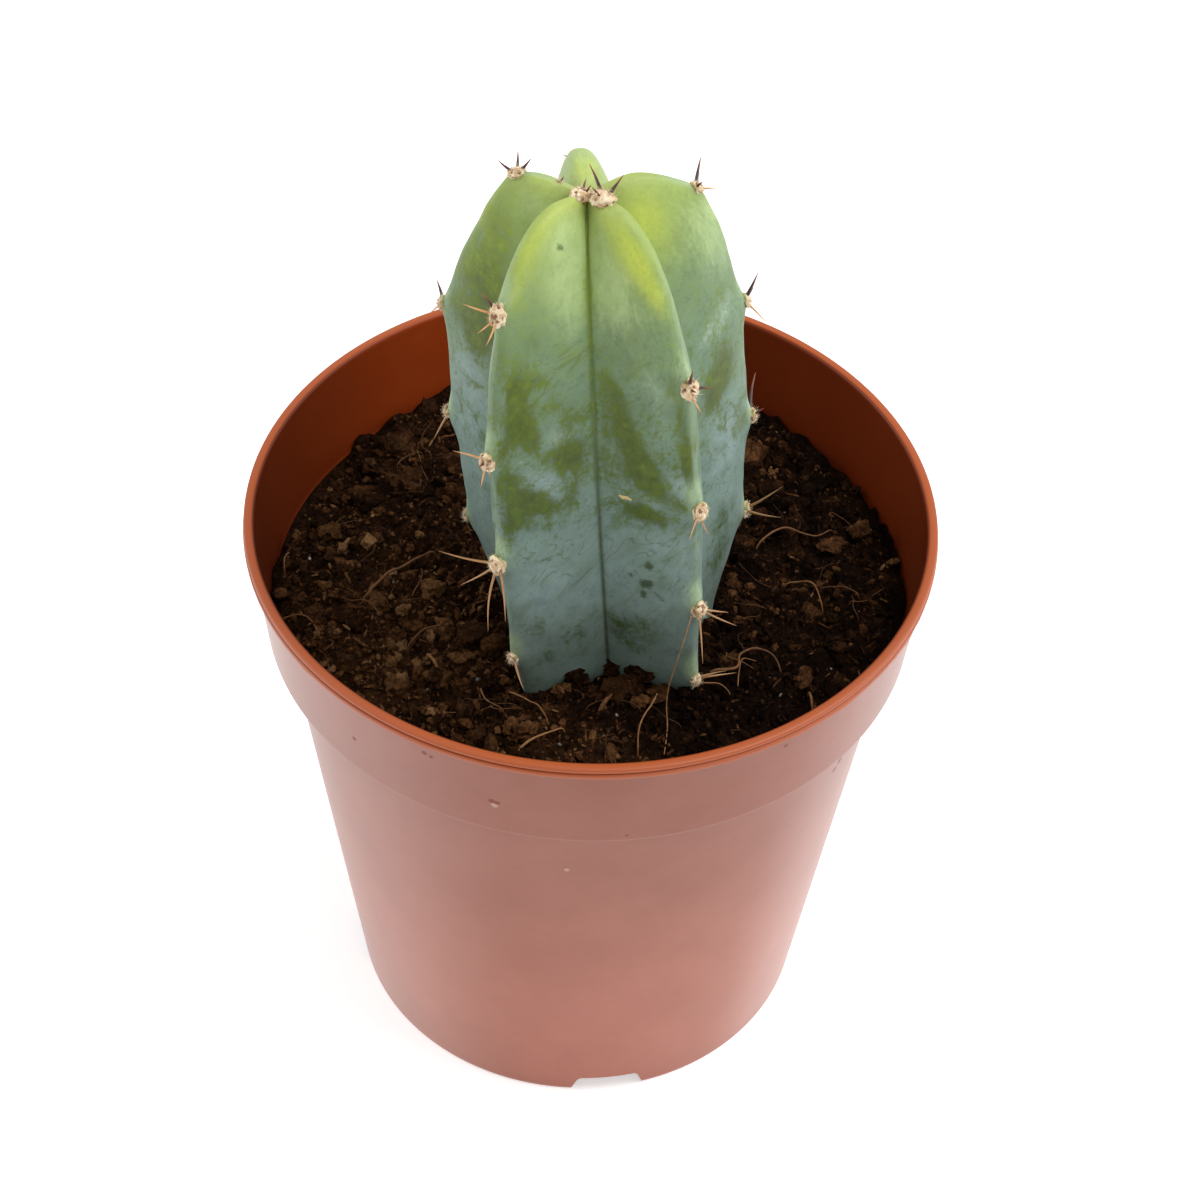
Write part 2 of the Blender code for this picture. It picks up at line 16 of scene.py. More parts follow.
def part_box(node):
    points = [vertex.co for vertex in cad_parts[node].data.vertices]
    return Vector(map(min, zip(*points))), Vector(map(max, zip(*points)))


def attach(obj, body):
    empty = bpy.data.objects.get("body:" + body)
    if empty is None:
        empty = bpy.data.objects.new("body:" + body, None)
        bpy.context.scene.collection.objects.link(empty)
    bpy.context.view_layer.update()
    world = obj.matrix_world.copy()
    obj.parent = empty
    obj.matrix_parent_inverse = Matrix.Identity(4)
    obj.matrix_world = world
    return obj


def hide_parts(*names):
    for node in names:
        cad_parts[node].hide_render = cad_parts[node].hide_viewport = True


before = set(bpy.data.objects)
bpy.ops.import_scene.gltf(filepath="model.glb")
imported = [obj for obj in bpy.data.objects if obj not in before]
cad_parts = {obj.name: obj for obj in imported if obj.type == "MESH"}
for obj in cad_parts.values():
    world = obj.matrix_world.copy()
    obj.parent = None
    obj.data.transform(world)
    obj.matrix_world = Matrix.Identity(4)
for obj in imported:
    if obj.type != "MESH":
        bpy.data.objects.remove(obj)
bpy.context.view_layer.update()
MM = 0.001


# Pot
# One injection moulding in terracotta polypropylene: a tapered body, a deep collar that hangs out
# over it, a lip of two beads with ragged moulding flash, and a foot ring with four notches under
# a raised floor with drain holes. It stands on the narrow land of the ring.

LIP_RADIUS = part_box("pot")[1][0]
POT_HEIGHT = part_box("pot")[1][2]
LIP_WIDTH = 1.4 * MM
UPPER_BEAD = 0.75 * MM
LOWER_BEAD = 0.85 * MM
LIP_FOOT = POT_HEIGHT - UPPER_BEAD - LOWER_BEAD
WALL = 0.85 * MM
COLLAR_TOP_RADIUS = 41.7 * MM
COLLAR_FOOT_RADIUS = 40.3 * MM
COLLAR_FOOT = POT_HEIGHT - 15.0 * MM
STEP_TOP = COLLAR_FOOT + WALL
BODY_TOP_RADIUS = 38.25 * MM
FOOT_RADIUS = 29.75 * MM
BODY_FLARE = (BODY_TOP_RADIUS - FOOT_RADIUS) / COLLAR_FOOT
FOOT_LAND = 1.2 * MM
FLOOR_RISE = 3.4 * MM
FLOOR_TOP = FLOOR_RISE + 1.0 * MM
POT_SIDES = 360
EASE_STEPS = 5
EASE_SUPPORT = 0.3 * MM  # where a flat starts again beyond an eased corner
NOTCH_AZIMUTHS = (9.0, 99.0, 189.0, 279.0)
NOTCH_WIDTH = 10.4 * MM
NOTCH_HEIGHT = 3.0 * MM
DRAIN_RADIUS = 3.5 * MM
DRAIN_CIRCLE = 18.0 * MM
DRAIN_SIDES = 48
FLASH_DROP = 0.5 * MM  # how far the raggedest flash hangs below the lower bead


def heading(azimuth):
    """The level unit vector that points to an azimuth."""
    angle = math.radians(azimuth)
    return np.array((math.sin(angle), -math.cos(angle), 0.0))


def make_piece(name, points, faces, marks=None, sharp=40.0):
    """An object from points and faces. Each mark is one value a point, which its material reads."""
    mesh = bpy.data.meshes.new(name)
    faces = faces.tolist() if isinstance(faces, np.ndarray) else faces
    mesh.from_pydata(np.asarray(points).tolist(), [], faces)
    for mark, values in (marks or {}).items():
        values = np.ascontiguousarray(values, np.float32)
        kind, field = ("FLOAT", "value") if values.ndim == 1 else ("FLOAT_VECTOR", "vector")
        layer = mesh.attributes.new(mark, kind, "POINT")
        layer.data.foreach_set(field, values.ravel())
    shape = bmesh.new()
    shape.from_mesh(mesh)
    bmesh.ops.remove_doubles(shape, verts=shape.verts, dist=1e-7)
    bmesh.ops.recalc_face_normals(shape, faces=shape.faces)
    shape.to_mesh(mesh)
    shape.free()
    mesh.shade_smooth()
    mesh.set_sharp_from_angle(angle=math.radians(sharp))
    piece = bpy.data.objects.new(name, mesh)
    bpy.context.scene.collection.objects.link(piece)
    return piece


def grid_faces(rows, columns):
    """Quads of a grid of rings whose last column joins its first."""
    ring = np.arange(columns)
    corners = np.stack([ring, np.roll(ring, -1)], 1)
    faces = []
    for row in range(rows - 1):
        upper = row * columns + corners
        lower = upper + columns
        faces.append(np.stack([upper[:, 0], lower[:, 0], lower[:, 1], upper[:, 1]], 1))
    return np.concatenate(faces)


def eased(corners):
    """An outline whose corners, given as radius, height and ease, are rounded off."""
    points = []
    for index, (radius, height, ease) in enumerate(corners):
        corner = np.array((radius, height))
        if ease == 0.0:
            points.append(corner)
            continue
        ends, supports = [], []
        for other in (corners[index - 1], corners[(index + 1) % len(corners)]):
            edge = np.array(other[:2]) - corner
            length = np.linalg.norm(edge)
            reach = min(ease, 0.45 * length)
            ends.append(corner + edge / length * reach)
            roomy = length > 2.0 * (ease + EASE_SUPPORT)
            supports.append([corner + edge / length * (reach + EASE_SUPPORT)] if roomy else [])
        points += supports[0]
        for f in np.linspace(0.0, 1.0, EASE_STEPS):
            points.append((1 - f) ** 2 * ends[0] + 2 * f * (1 - f) * corner + f**2 * ends[1])
        points += supports[1]
    return np.array(points)


def pot_outline():
    """The pot's section from the floor's middle up inside, over the lip and down to the foot."""
    bead_foot = POT_HEIGHT - UPPER_BEAD
    inside = [
        (0.0, FLOOR_TOP, 0.0),
        (FOOT_RADIUS + BODY_FLARE * FLOOR_TOP - WALL, FLOOR_TOP, 1.5 * MM),
        (FOOT_RADIUS + BODY_FLARE * STEP_TOP - WALL, STEP_TOP, 0.6 * MM),
        (COLLAR_FOOT_RADIUS - WALL, STEP_TOP + 0.2 * MM, 0.8 * MM),
        (LIP_RADIUS - LIP_WIDTH - 0.15 * MM, POT_HEIGHT - 1.5 * MM, 0.4 * MM),
    ]
    lip = [
        (LIP_RADIUS - LIP_WIDTH, POT_HEIGHT, 0.45 * MM),
        (LIP_RADIUS - 0.1 * MM, POT_HEIGHT, 0.5 * MM),
        (LIP_RADIUS - 0.1 * MM, bead_foot + 0.1 * MM, 0.25 * MM),
        (LIP_RADIUS - 0.4 * MM, bead_foot - 0.03 * MM, 0.05 * MM),
        (LIP_RADIUS, bead_foot - 0.15 * MM, 0.2 * MM),
        (LIP_RADIUS - 0.05 * MM, LIP_FOOT, 0.25 * MM),
        (COLLAR_TOP_RADIUS, LIP_FOOT + 0.05 * MM, 0.12 * MM),
    ]
    outside = [
        (COLLAR_FOOT_RADIUS, COLLAR_FOOT, 0.35 * MM),
        (BODY_TOP_RADIUS, COLLAR_FOOT + 0.1 * MM, 0.3 * MM),
        (FOOT_RADIUS, 0.0, 0.7 * MM),
        (FOOT_RADIUS - FOOT_LAND, 0.0, 0.3 * MM),
        (FOOT_RADIUS - FOOT_LAND, FLOOR_RISE, 0.8 * MM),
        (0.0, FLOOR_RISE, 0.0),
    ]
    return eased(inside + lip + outside)


def ragged(azimuth):
    """How much flash hangs from the lower bead at an azimuth, from 0 to 1: mostly a little."""
    spot = Vector((math.sin(azimuth) * 30.0, math.cos(azimuth) * 30.0, 4.2))
    fine = noise.fractal(spot, 0.6, 2.2, 4)
    coarse = noise.noise(spot / 7.0)
    return max(0.0, min(1.0, 0.55 * fine + 0.9 * coarse - 0.05))


def dress(piece, material, node):
    """Finishes a piece that stays still and stands for a CAD node, in one of the record's slots."""
    piece.data.materials.clear()
    piece.data.materials.append(material)
    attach(piece, "root")
    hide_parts(node)


def turned_pot():
    """The outline turned round the axis, with the flash drawn down from the lower bead."""
    outline = pot_outline()
    turn = np.radians(np.arange(POT_SIDES) * 360.0 / POT_SIDES)
    hanging = np.exp(-(((outline[:, 1] - LIP_FOOT) / (0.22 * MM)) ** 2))
    hanging *= outline[:, 0] > COLLAR_TOP_RADIUS + 0.15 * MM
    flash = np.array([ragged(angle) for angle in turn])
    drop = np.outer(hanging, flash) * FLASH_DROP
    radii = outline[:, 0:1] + 0.25 * drop
    heights = outline[:, 1:2] - drop
    points = np.stack([radii * np.sin(turn), -radii * np.cos(turn), heights + 0.0 * turn], -1)
    return make_piece("pot_shell", points.reshape(-1, 3), grid_faces(len(outline), POT_SIDES))


def cut_away(piece, name, shape):
    """Cuts a bmesh out of a piece and keeps the result as the piece's own mesh."""
    mesh = bpy.data.meshes.new(name)
    shape.to_mesh(mesh)
    shape.free()
    cutter = bpy.data.objects.new(name, mesh)
    bpy.context.scene.collection.objects.link(cutter)
    boolean = piece.modifiers.new(name, "BOOLEAN")
    boolean.operation = "DIFFERENCE"
    boolean.object = cutter
    graph = bpy.context.evaluated_depsgraph_get()
    piece.data = bpy.data.meshes.new_from_object(piece.evaluated_get(graph))
    piece.modifiers.remove(boolean)
    piece.data.set_sharp_from_angle(angle=math.radians(40.0))
    bpy.data.objects.remove(cutter, do_unlink=True)


def notch_wedges():
    """A wedge for each notch of the foot ring, narrower at its top, with eased top corners."""
    shape = bmesh.new()
    half = NOTCH_WIDTH / 2
    below = -1.0 * MM
    ease = 0.5 * MM
    flank = [
        (0.78 * half, NOTCH_HEIGHT - ease),
        (0.72 * half, NOTCH_HEIGHT - 0.2 * ease),
        (0.66 * half, NOTCH_HEIGHT),
    ]
    section = [(-half, below), (half, below)] + flank
    section += [(-across, up) for across, up in flank[::-1]]
    for azimuth in NOTCH_AZIMUTHS:
        out = heading(azimuth)
        side = np.array((-out[1], out[0], 0.0))
        rings = []
        for reach in (FOOT_RADIUS - 4.0 * MM, FOOT_RADIUS + 4.0 * MM):
            corners = [out * reach + side * across + (0.0, 0.0, up) for across, up in section]
            rings.append([shape.verts.new(corner) for corner in corners])
        shape.faces.new(rings[0])
        shape.faces.new(reversed(rings[1]))
        for a in range(len(section)):
            b = (a + 1) % len(section)
            shape.faces.new((rings[0][b], rings[0][a], rings[1][a], rings[1][b]))
    bmesh.ops.recalc_face_normals(shape, faces=shape.faces)
    return shape


def drain_plugs():
    """A round plug for each drain hole, between the notches."""
    shape = bmesh.new()
    for azimuth in NOTCH_AZIMUTHS:
        made = bmesh.ops.create_cone(
            shape, cap_ends=True, segments=DRAIN_SIDES, radius1=DRAIN_RADIUS, radius2=DRAIN_RADIUS,
            depth=8.0 * MM,
        )
        spot = heading(azimuth + 45.0) * DRAIN_CIRCLE + (0.0, 0.0, FLOOR_RISE)
        bmesh.ops.translate(shape, verts=made["verts"], vec=spot)
    return shape


class Tap:
    """A socket in one material's node tree. Arithmetic on taps adds the Math nodes for it."""

    def __init__(self, tree, socket=None):
        self.tree = tree
        self.socket = socket

    def node(self, kind, settings=None, sockets=None, out=0):
        """Adds any node: first its settings, then its sockets, each by a value or by a tap."""
        node = self.tree.nodes.new(kind)
        for setting, value in (settings or {}).items():
            if setting == "stops":
                node.color_ramp.elements.remove(node.color_ramp.elements[1])
                node.color_ramp.elements[0].position = value[0][0]
                node.color_ramp.elements[0].color = (*value[0][1], 1.0)
                for place, colour in value[1:]:
                    node.color_ramp.elements.new(place).color = (*colour, 1.0)
            else:
                setattr(node, setting, value)
        for socket, value in (sockets or {}).items():
            if isinstance(value, Tap):
                self.tree.links.new(value.socket, node.inputs[socket])
            elif node.inputs[socket].type == "RGBA":
                node.inputs[socket].default_value = (*value, 1.0)
            else:
                node.inputs[socket].default_value = value
        return Tap(self.tree, node.outputs[out])

    def math(self, operation, *operands):
        """A Math node on taps or numbers."""
        return self.node("ShaderNodeMath", {"operation": operation}, dict(enumerate(operands)))

    def __add__(self, other):
        return self.math("ADD", self, other)

    def __sub__(self, other):
        return self.math("SUBTRACT", self, other)

    def __rsub__(self, other):
        return self.math("SUBTRACT", other, self)

    def __mul__(self, other):
        return self.math("MULTIPLY", self, other)

    def __truediv__(self, other):
        return self.math("DIVIDE", self, other)

    __radd__ = __add__
    __rmul__ = __mul__

    def rise(self, low, high):
        """0 below low, 1 above high, and a soft step between."""
        sockets = {"Value": self, "From Min": low, "From Max": high}
        return self.node("ShaderNodeMapRange", {"interpolation_type": "SMOOTHSTEP"}, sockets)

    def tint(self, low, high):
        """A colour that runs from low to high as this tap goes from 0 to 1."""
        sockets = {0: self, 6: low, 7: high}
        return self.node("ShaderNodeMix", {"data_type": "RGBA"}, sockets, out=2)

    def grain(self, where, scale, detail=2.0, roughness=0.5, distortion=0.0):
        """Noise from 0 to 1, with scale in patches to the metre."""
        sockets = {"Vector": where, "Scale": scale, "Detail": detail, "Roughness": roughness}
        return self.node("ShaderNodeTexNoise", None, {**sockets, "Distortion": distortion})

    def mark(self, name):
        """A value that the mesh carries at each point."""
        return self.node("ShaderNodeAttribute", {"attribute_name": name}, None, out=2)

    def track(self, name):
        """A vector that the mesh carries at each point."""
        return self.node("ShaderNodeAttribute", {"attribute_name": name}, None, out=1)

    def ramp(self, *stops):
        """The colour at this tap's value between stops, each a place from 0 to 1 and a colour."""
        return self.node("ShaderNodeValToRGB", {"stops": stops}, {0: self})

    def part(self, axis):
        """One of a vector's three parts."""
        return self.node("ShaderNodeSeparateXYZ", None, {0: self}, out=axis)

    def stretched(self, factors):
        """A vector with each of its axes scaled."""
        return self.node("ShaderNodeVectorMath", {"operation": "MULTIPLY"}, {0: self, 1: factors})

    def turned(self, angles):
        """A vector turned round the three axes, in radians."""
        settings = {"rotation_type": "EULER_XYZ"}
        return self.node("ShaderNodeVectorRotate", settings, {"Vector": self, "Rotation": angles})

    def times(self, amount):
        """A colour made lighter or darker by a factor."""
        return self.node("ShaderNodeVectorMath", {"operation": "SCALE"}, {0: self, "Scale": amount})

    def place(self):
        """Where a point is in the part's own frame, in metres."""
        return self.node("ShaderNodeTexCoord", None, None, out=3)

    def bump(self, height, depth, strength=1.0):
        """A normal for a relief whose height runs from 0 to 1 over a depth in metres."""
        sockets = {"Height": height, "Distance": depth, "Strength": strength}
        return self.node("ShaderNodeBump", None, sockets)


def new_finish(name, **fixed):
    """A material, its shader and a tap to draw from. Fixed values go on the shader's sockets."""
    material = bpy.data.materials.new(name)
    material.use_nodes = True
    shader = material.node_tree.nodes["Principled BSDF"]
    for socket, value in fixed.items():
        shader.inputs[socket.replace("_", " ")].default_value = value
    return material, shader, Tap(material.node_tree)


def feed(shader, **taps):
    """Links taps to the shader's sockets, which are written with _ for each space."""
    for socket, tap in taps.items():
        tap.tree.links.new(tap.socket, shader.inputs[socket.replace("_", " ")])


# Nicks and specks on the outside: azimuth, then height and radius in mm
DARK_NICKS = (
    (-14.7, 69.5, 0.5), (-13.8, 69.3, 0.5), (-41.1, 69.7, 0.45), (34.3, 74.8, 0.4),
    (57.6, 56.6, 0.7), (56.2, 55.6, 0.6), (-26.1, 74.8, 0.5), (-24.9, 74.5, 0.35), (7.7, 64.7, 0.3),
    (140.0, 40.0, 0.5), (-150.0, 66.0, 0.5),
)
PALE_NICKS = (
    (-14.2, 68.7, 0.55), (-2.3, 54.3, 0.45), (168.0, 20.0, 0.5),
)


def nicked(where, unevenness, nicks):
    """1 within the nicks of a table and 0 elsewhere, with uneven edges."""
    heights = (0.0, COLLAR_FOOT, COLLAR_FOOT, LIP_FOOT)
    radii = (FOOT_RADIUS, BODY_TOP_RADIUS, COLLAR_FOOT_RADIUS, COLLAR_TOP_RADIUS)
    deepest = None
    for azimuth, height, size in nicks:
        spot = heading(azimuth) * np.interp(height * MM, heights, radii) + (0.0, 0.0, height * MM)
        sockets = {0: where, 1: spot}
        away = where.node("ShaderNodeVectorMath", {"operation": "DISTANCE"}, sockets, out=1)
        away = away + unevenness * 0.5 * size * MM
        near = 1.0 - away.rise(0.45 * size * MM, size * MM)
        deepest = where.math("MAXIMUM", deepest, near) if deepest else near
    return deepest


def moulded_polypropylene():
    """Terracotta plastic: matt and painted darker inside as painted shade, with a hazy bloom of
    fine scuffs on the outside.
    """
    material, shader, tap = new_finish(
        "moulded_polypropylene", Specular_IOR_Level=0.2, Coat_Roughness=0.4, Coat_IOR=1.8
    )
    where = tap.place()
    across, backward, height = (where.part(axis) for axis in range(3))
    level = where.stretched((1.0, 1.0, 0.0))
    radius = tap.node("ShaderNodeVectorMath", {"operation": "LENGTH"}, {0: level}, out=1)
    side = across / radius
    cloud = tap.grain(where, 70.0, 4.0, 0.6)
    scuff = tap.grain(where.stretched((1.0, 1.0, 2.5)), 500.0, 3.0, 0.6)
    speck = tap.grain(where, 2400.0, 2.0, 0.5)
    # The middle of the wall's thickness parts the inside from the outside.
    body = height * BODY_FLARE + (FOOT_RADIUS - 0.5 * WALL)
    flare = (COLLAR_TOP_RADIUS - COLLAR_FOOT_RADIUS) / (POT_HEIGHT - COLLAR_FOOT)
    collar = (height - COLLAR_FOOT) * flare + (COLLAR_FOOT_RADIUS - 0.5 * WALL)
    on_collar = height.rise(COLLAR_FOOT + 0.3 * MM, COLLAR_FOOT + 0.5 * MM)
    middle = body + (collar - body) * on_collar
    lip = height.rise(LIP_FOOT - 0.2 * MM, LIP_FOOT)
    past_edge = radius - (LIP_RADIUS - LIP_WIDTH)
    rim = past_edge.rise(0.1 * MM, 0.45 * MM)
    outside = (radius - middle).rise(-0.05 * MM, 0.05 * MM) * (1.0 - lip * (1.0 - rim))
    # The upper part is painted darker outside, as painted shade where less light comes up from the
    # floor, and its haze is thinner; the haze is thickest on the left.
    upper = height.rise(12.0 * MM, 64.0 * MM)
    tone = cloud.rise(0.3, 0.75).tint((0.262, 0.046, 0.008), (0.294, 0.054, 0.0105))
    # Inside, the wall is painted darker and deeper red as painted shade, darker still on the left,
    # and a painted pool of light brightens it at the back left.
    painted_light_back_left = side.rise(-1.05, -0.5) * (1.0 - side.rise(-0.45, 0.4))
    painted_light_back_left = painted_light_back_left * (backward / radius).rise(-0.1, 0.2)
    inside = 0.46 - (0.0 - side).rise(0.0, 0.8) * 0.16
    inside = tone.stretched((1.0, 0.78, 0.55)).times(inside * (1.1 + painted_light_back_left * 1.6))
    # Outside, the tone is painted darker towards the top: painted shade.
    tone = outside.tint(inside, tone.times(1.06 - upper * 0.27))
    # The lip's beads are painted a lighter orange: a painted highlight where they face the light.
    tone = (lip * rim * 0.9).tint(tone, (0.36, 0.08, 0.022))
    colour = (speck.rise(0.72, 0.8) * 0.35).tint(tone, (0.11, 0.022, 0.008))
    dark = nicked(where, scuff - 0.5, DARK_NICKS)
    colour = (nicked(where, scuff - 0.5, PALE_NICKS) * 0.35).tint(colour, (0.62, 0.45, 0.36))
    colour = dark.tint(colour, (0.17, 0.026, 0.006))
    haze = 0.49 + (0.0 - side).rise(0.15, 0.8) * 0.46 + side.rise(0.56, 0.84) * 0.3
    haze = haze * (1.04 - upper * 0.16) + (cloud - 0.5) * 0.3 + (scuff - 0.5) * 0.12
    clean = lip * (1.0 - past_edge.rise(0.4 * MM, 0.8 * MM) * 0.25)
    haze = haze * outside * (1.0 - clean) * (1.0 - dark * 0.85)
    feed(shader, Base_Color=colour, Coat_Weight=haze, Roughness=0.42 + (cloud - 0.5) * 0.1,
         Normal=tap.bump(speck * 0.6 + cloud - dark * 0.8, 0.015 * MM))
    return material


pot_shell = turned_pot()
cut_away(pot_shell, "foot_notches", notch_wedges())
cut_away(pot_shell, "drain_holes", drain_plugs())
dress(pot_shell, moulded_polypropylene(), "pot")


# Stem
# The plant's column: five ribs that meet in narrow grooves and close over a sunken growing tip.
# Its waxy skin is yellow-green at the crown and blue-grey with bloom lower down, and olive where
# handling has rubbed the bloom off. The lower end is buried in the soil.

SOIL_LEVEL = 69.0 * MM
# The stem's base centre at soil level, and how far it leans for each metre of height
STEM_BASE = np.array((2.8 * MM, -9.95 * MM, SOIL_LEVEL))
STEM_LEAN = np.array((-0.067, 0.0, 1.0))
# A rib's section: how blunt its crest is, how hollow its flank, and the power by which the
# surface falls from crest to groove; the second value is what the crown adds to the first
CREST_ROUNDING = (0.13, 0.25)
FLANK_HOLLOW = (0.5, 0.25)
FLANK_FALL = (1.5, 1.1)
CROWN_REACH = 22.0 * MM

# The outline from the growing tip down to the buried end, in millimetres: crest radius, crest
# height over the soil, groove radius, groove height
OUTLINE = np.array((
    (0.0, 66.2, 0.0, 66.2), (3.0, 67.3, 1.5, 65.4), (6.2, 67.7, 3.5, 64.2), (9.2, 66.4, 5.0, 62.2),
    (12.0, 63.4, 6.6, 59.2), (14.3, 58.8, 8.0, 55.8), (16.0, 53.3, 9.1, 51.8),
    (17.3, 46.5, 10.0, 46.5), (17.8, 39.5, 10.8, 39.5), (17.9, 31.0, 11.2, 31.0),
    (17.5, 21.0, 11.0, 21.0), (16.8, 11.0, 10.4, 11.0), (15.9, 2.0, 9.6, 2.0),
    (14.4, -6.0, 8.8, -6.0), (11.6, -13.0, 7.4, -13.0), (6.4, -18.0, 4.4, -18.0),
    (0.0, -19.5, 0.0, -19.5),
))

# How one rib differs from the shared outline: its azimuth, its girth as a factor, in millimetres
# how far its shoulder and its foot are drawn in and how far its crown is let down, how much
# rounder its flanks are at the crown, and in millimetres the distance of each areole from the
# growing tip along the crest
Rib = namedtuple("Rib", "azimuth girth shoulder foot crown dome areoles")
RIBS = {
    "front_left": Rib(-38.6, 1.015, 0.0, 0.0, 0.0, 0.0, (0.9, 19.0, 38.2, 54.2, 70.5)),
    "front_right": Rib(38.9, 0.985, 0.0, 0.0, 0.0, 0.0, (2.9, 27.6, 45.0, 61.2, 74.0)),
    "back_right": Rib(109.5, 1.0, -0.8, 2.4, 0.3, 0.0, (12.5, 31.2, 48.8, 63.8)),
    "back": Rib(187.0, 0.98, 0.2, 1.5, 1.1, 0.4, (17.0, 33.0, 49.0, 63.5)),
    "back_left": Rib(-104.6, 0.99, 1.1, 2.0, 0.3, 0.0, (3.0, 7.6, 31.8, 48.4, 64.9)),
}
SHOULDER_AT = 17.0 * MM
SHOULDER_SPREAD = 7.0 * MM
CROWN_AT = 7.5 * MM
CROWN_SPREAD = 9.0 * MM
FOOT_AT = 79.0 * MM
FOOT_SPREAD = 10.0 * MM
AREOLE_BUMP = 0.75 * MM
AREOLE_SPREAD = 2.6 * MM
AREOLE_BUMP_WIDTH = 0.3  # share of the rib's flank that the bump takes up

STEPS_PER_ROW = 24  # of the outline
FLANK_COLUMNS = 26  # mesh columns from a crest to a groove
SKIN_ROWS = 300
CROWDING = 0.72  # how far the columns crowd at crests and grooves
TIP_ROWS = 12  # over which the relief fades in from the growing tip
# From crest to groove along the skin, at distances from the growing tip
FLANK_WIDTHS = ((0.0, 10.0 * MM, 25.0 * MM, 45.0 * MM), (2.0 * MM, 6.0 * MM, 10.0 * MM, 11.5 * MM))
GIRTH_RADIUS = 16.0 * MM  # radius on which the skin is unrolled for its streaks
GROOVE_CREASE = 0.22 * MM
CREASE_SHARE = 0.012
CREST_HIGHLIGHT_WIDTH = 0.025  # share of the flank along the crest that is painted pale, a painted highlight
CREST_HIGHLIGHT_FROM = 20.0 * MM
CREST_HIGHLIGHT_FADE = 6.0 * MM
TONED_LENGTH = 90.0  # mm of crest over which the skin's colours change
HALO_WIDTH = 0.19  # share of the flank that is pale round an areole
HALO_LENGTH = 3.0 * MM
HALO_ABOVE = 1.6  # mm from an areole up to its halo's middle
SCAR_RISE = 0.12 * MM
# Gentle swellings of the skin: height and width
SKIN_WAVES = ((0.16 * MM, 6.0 * MM), (0.05 * MM, 2.2 * MM))

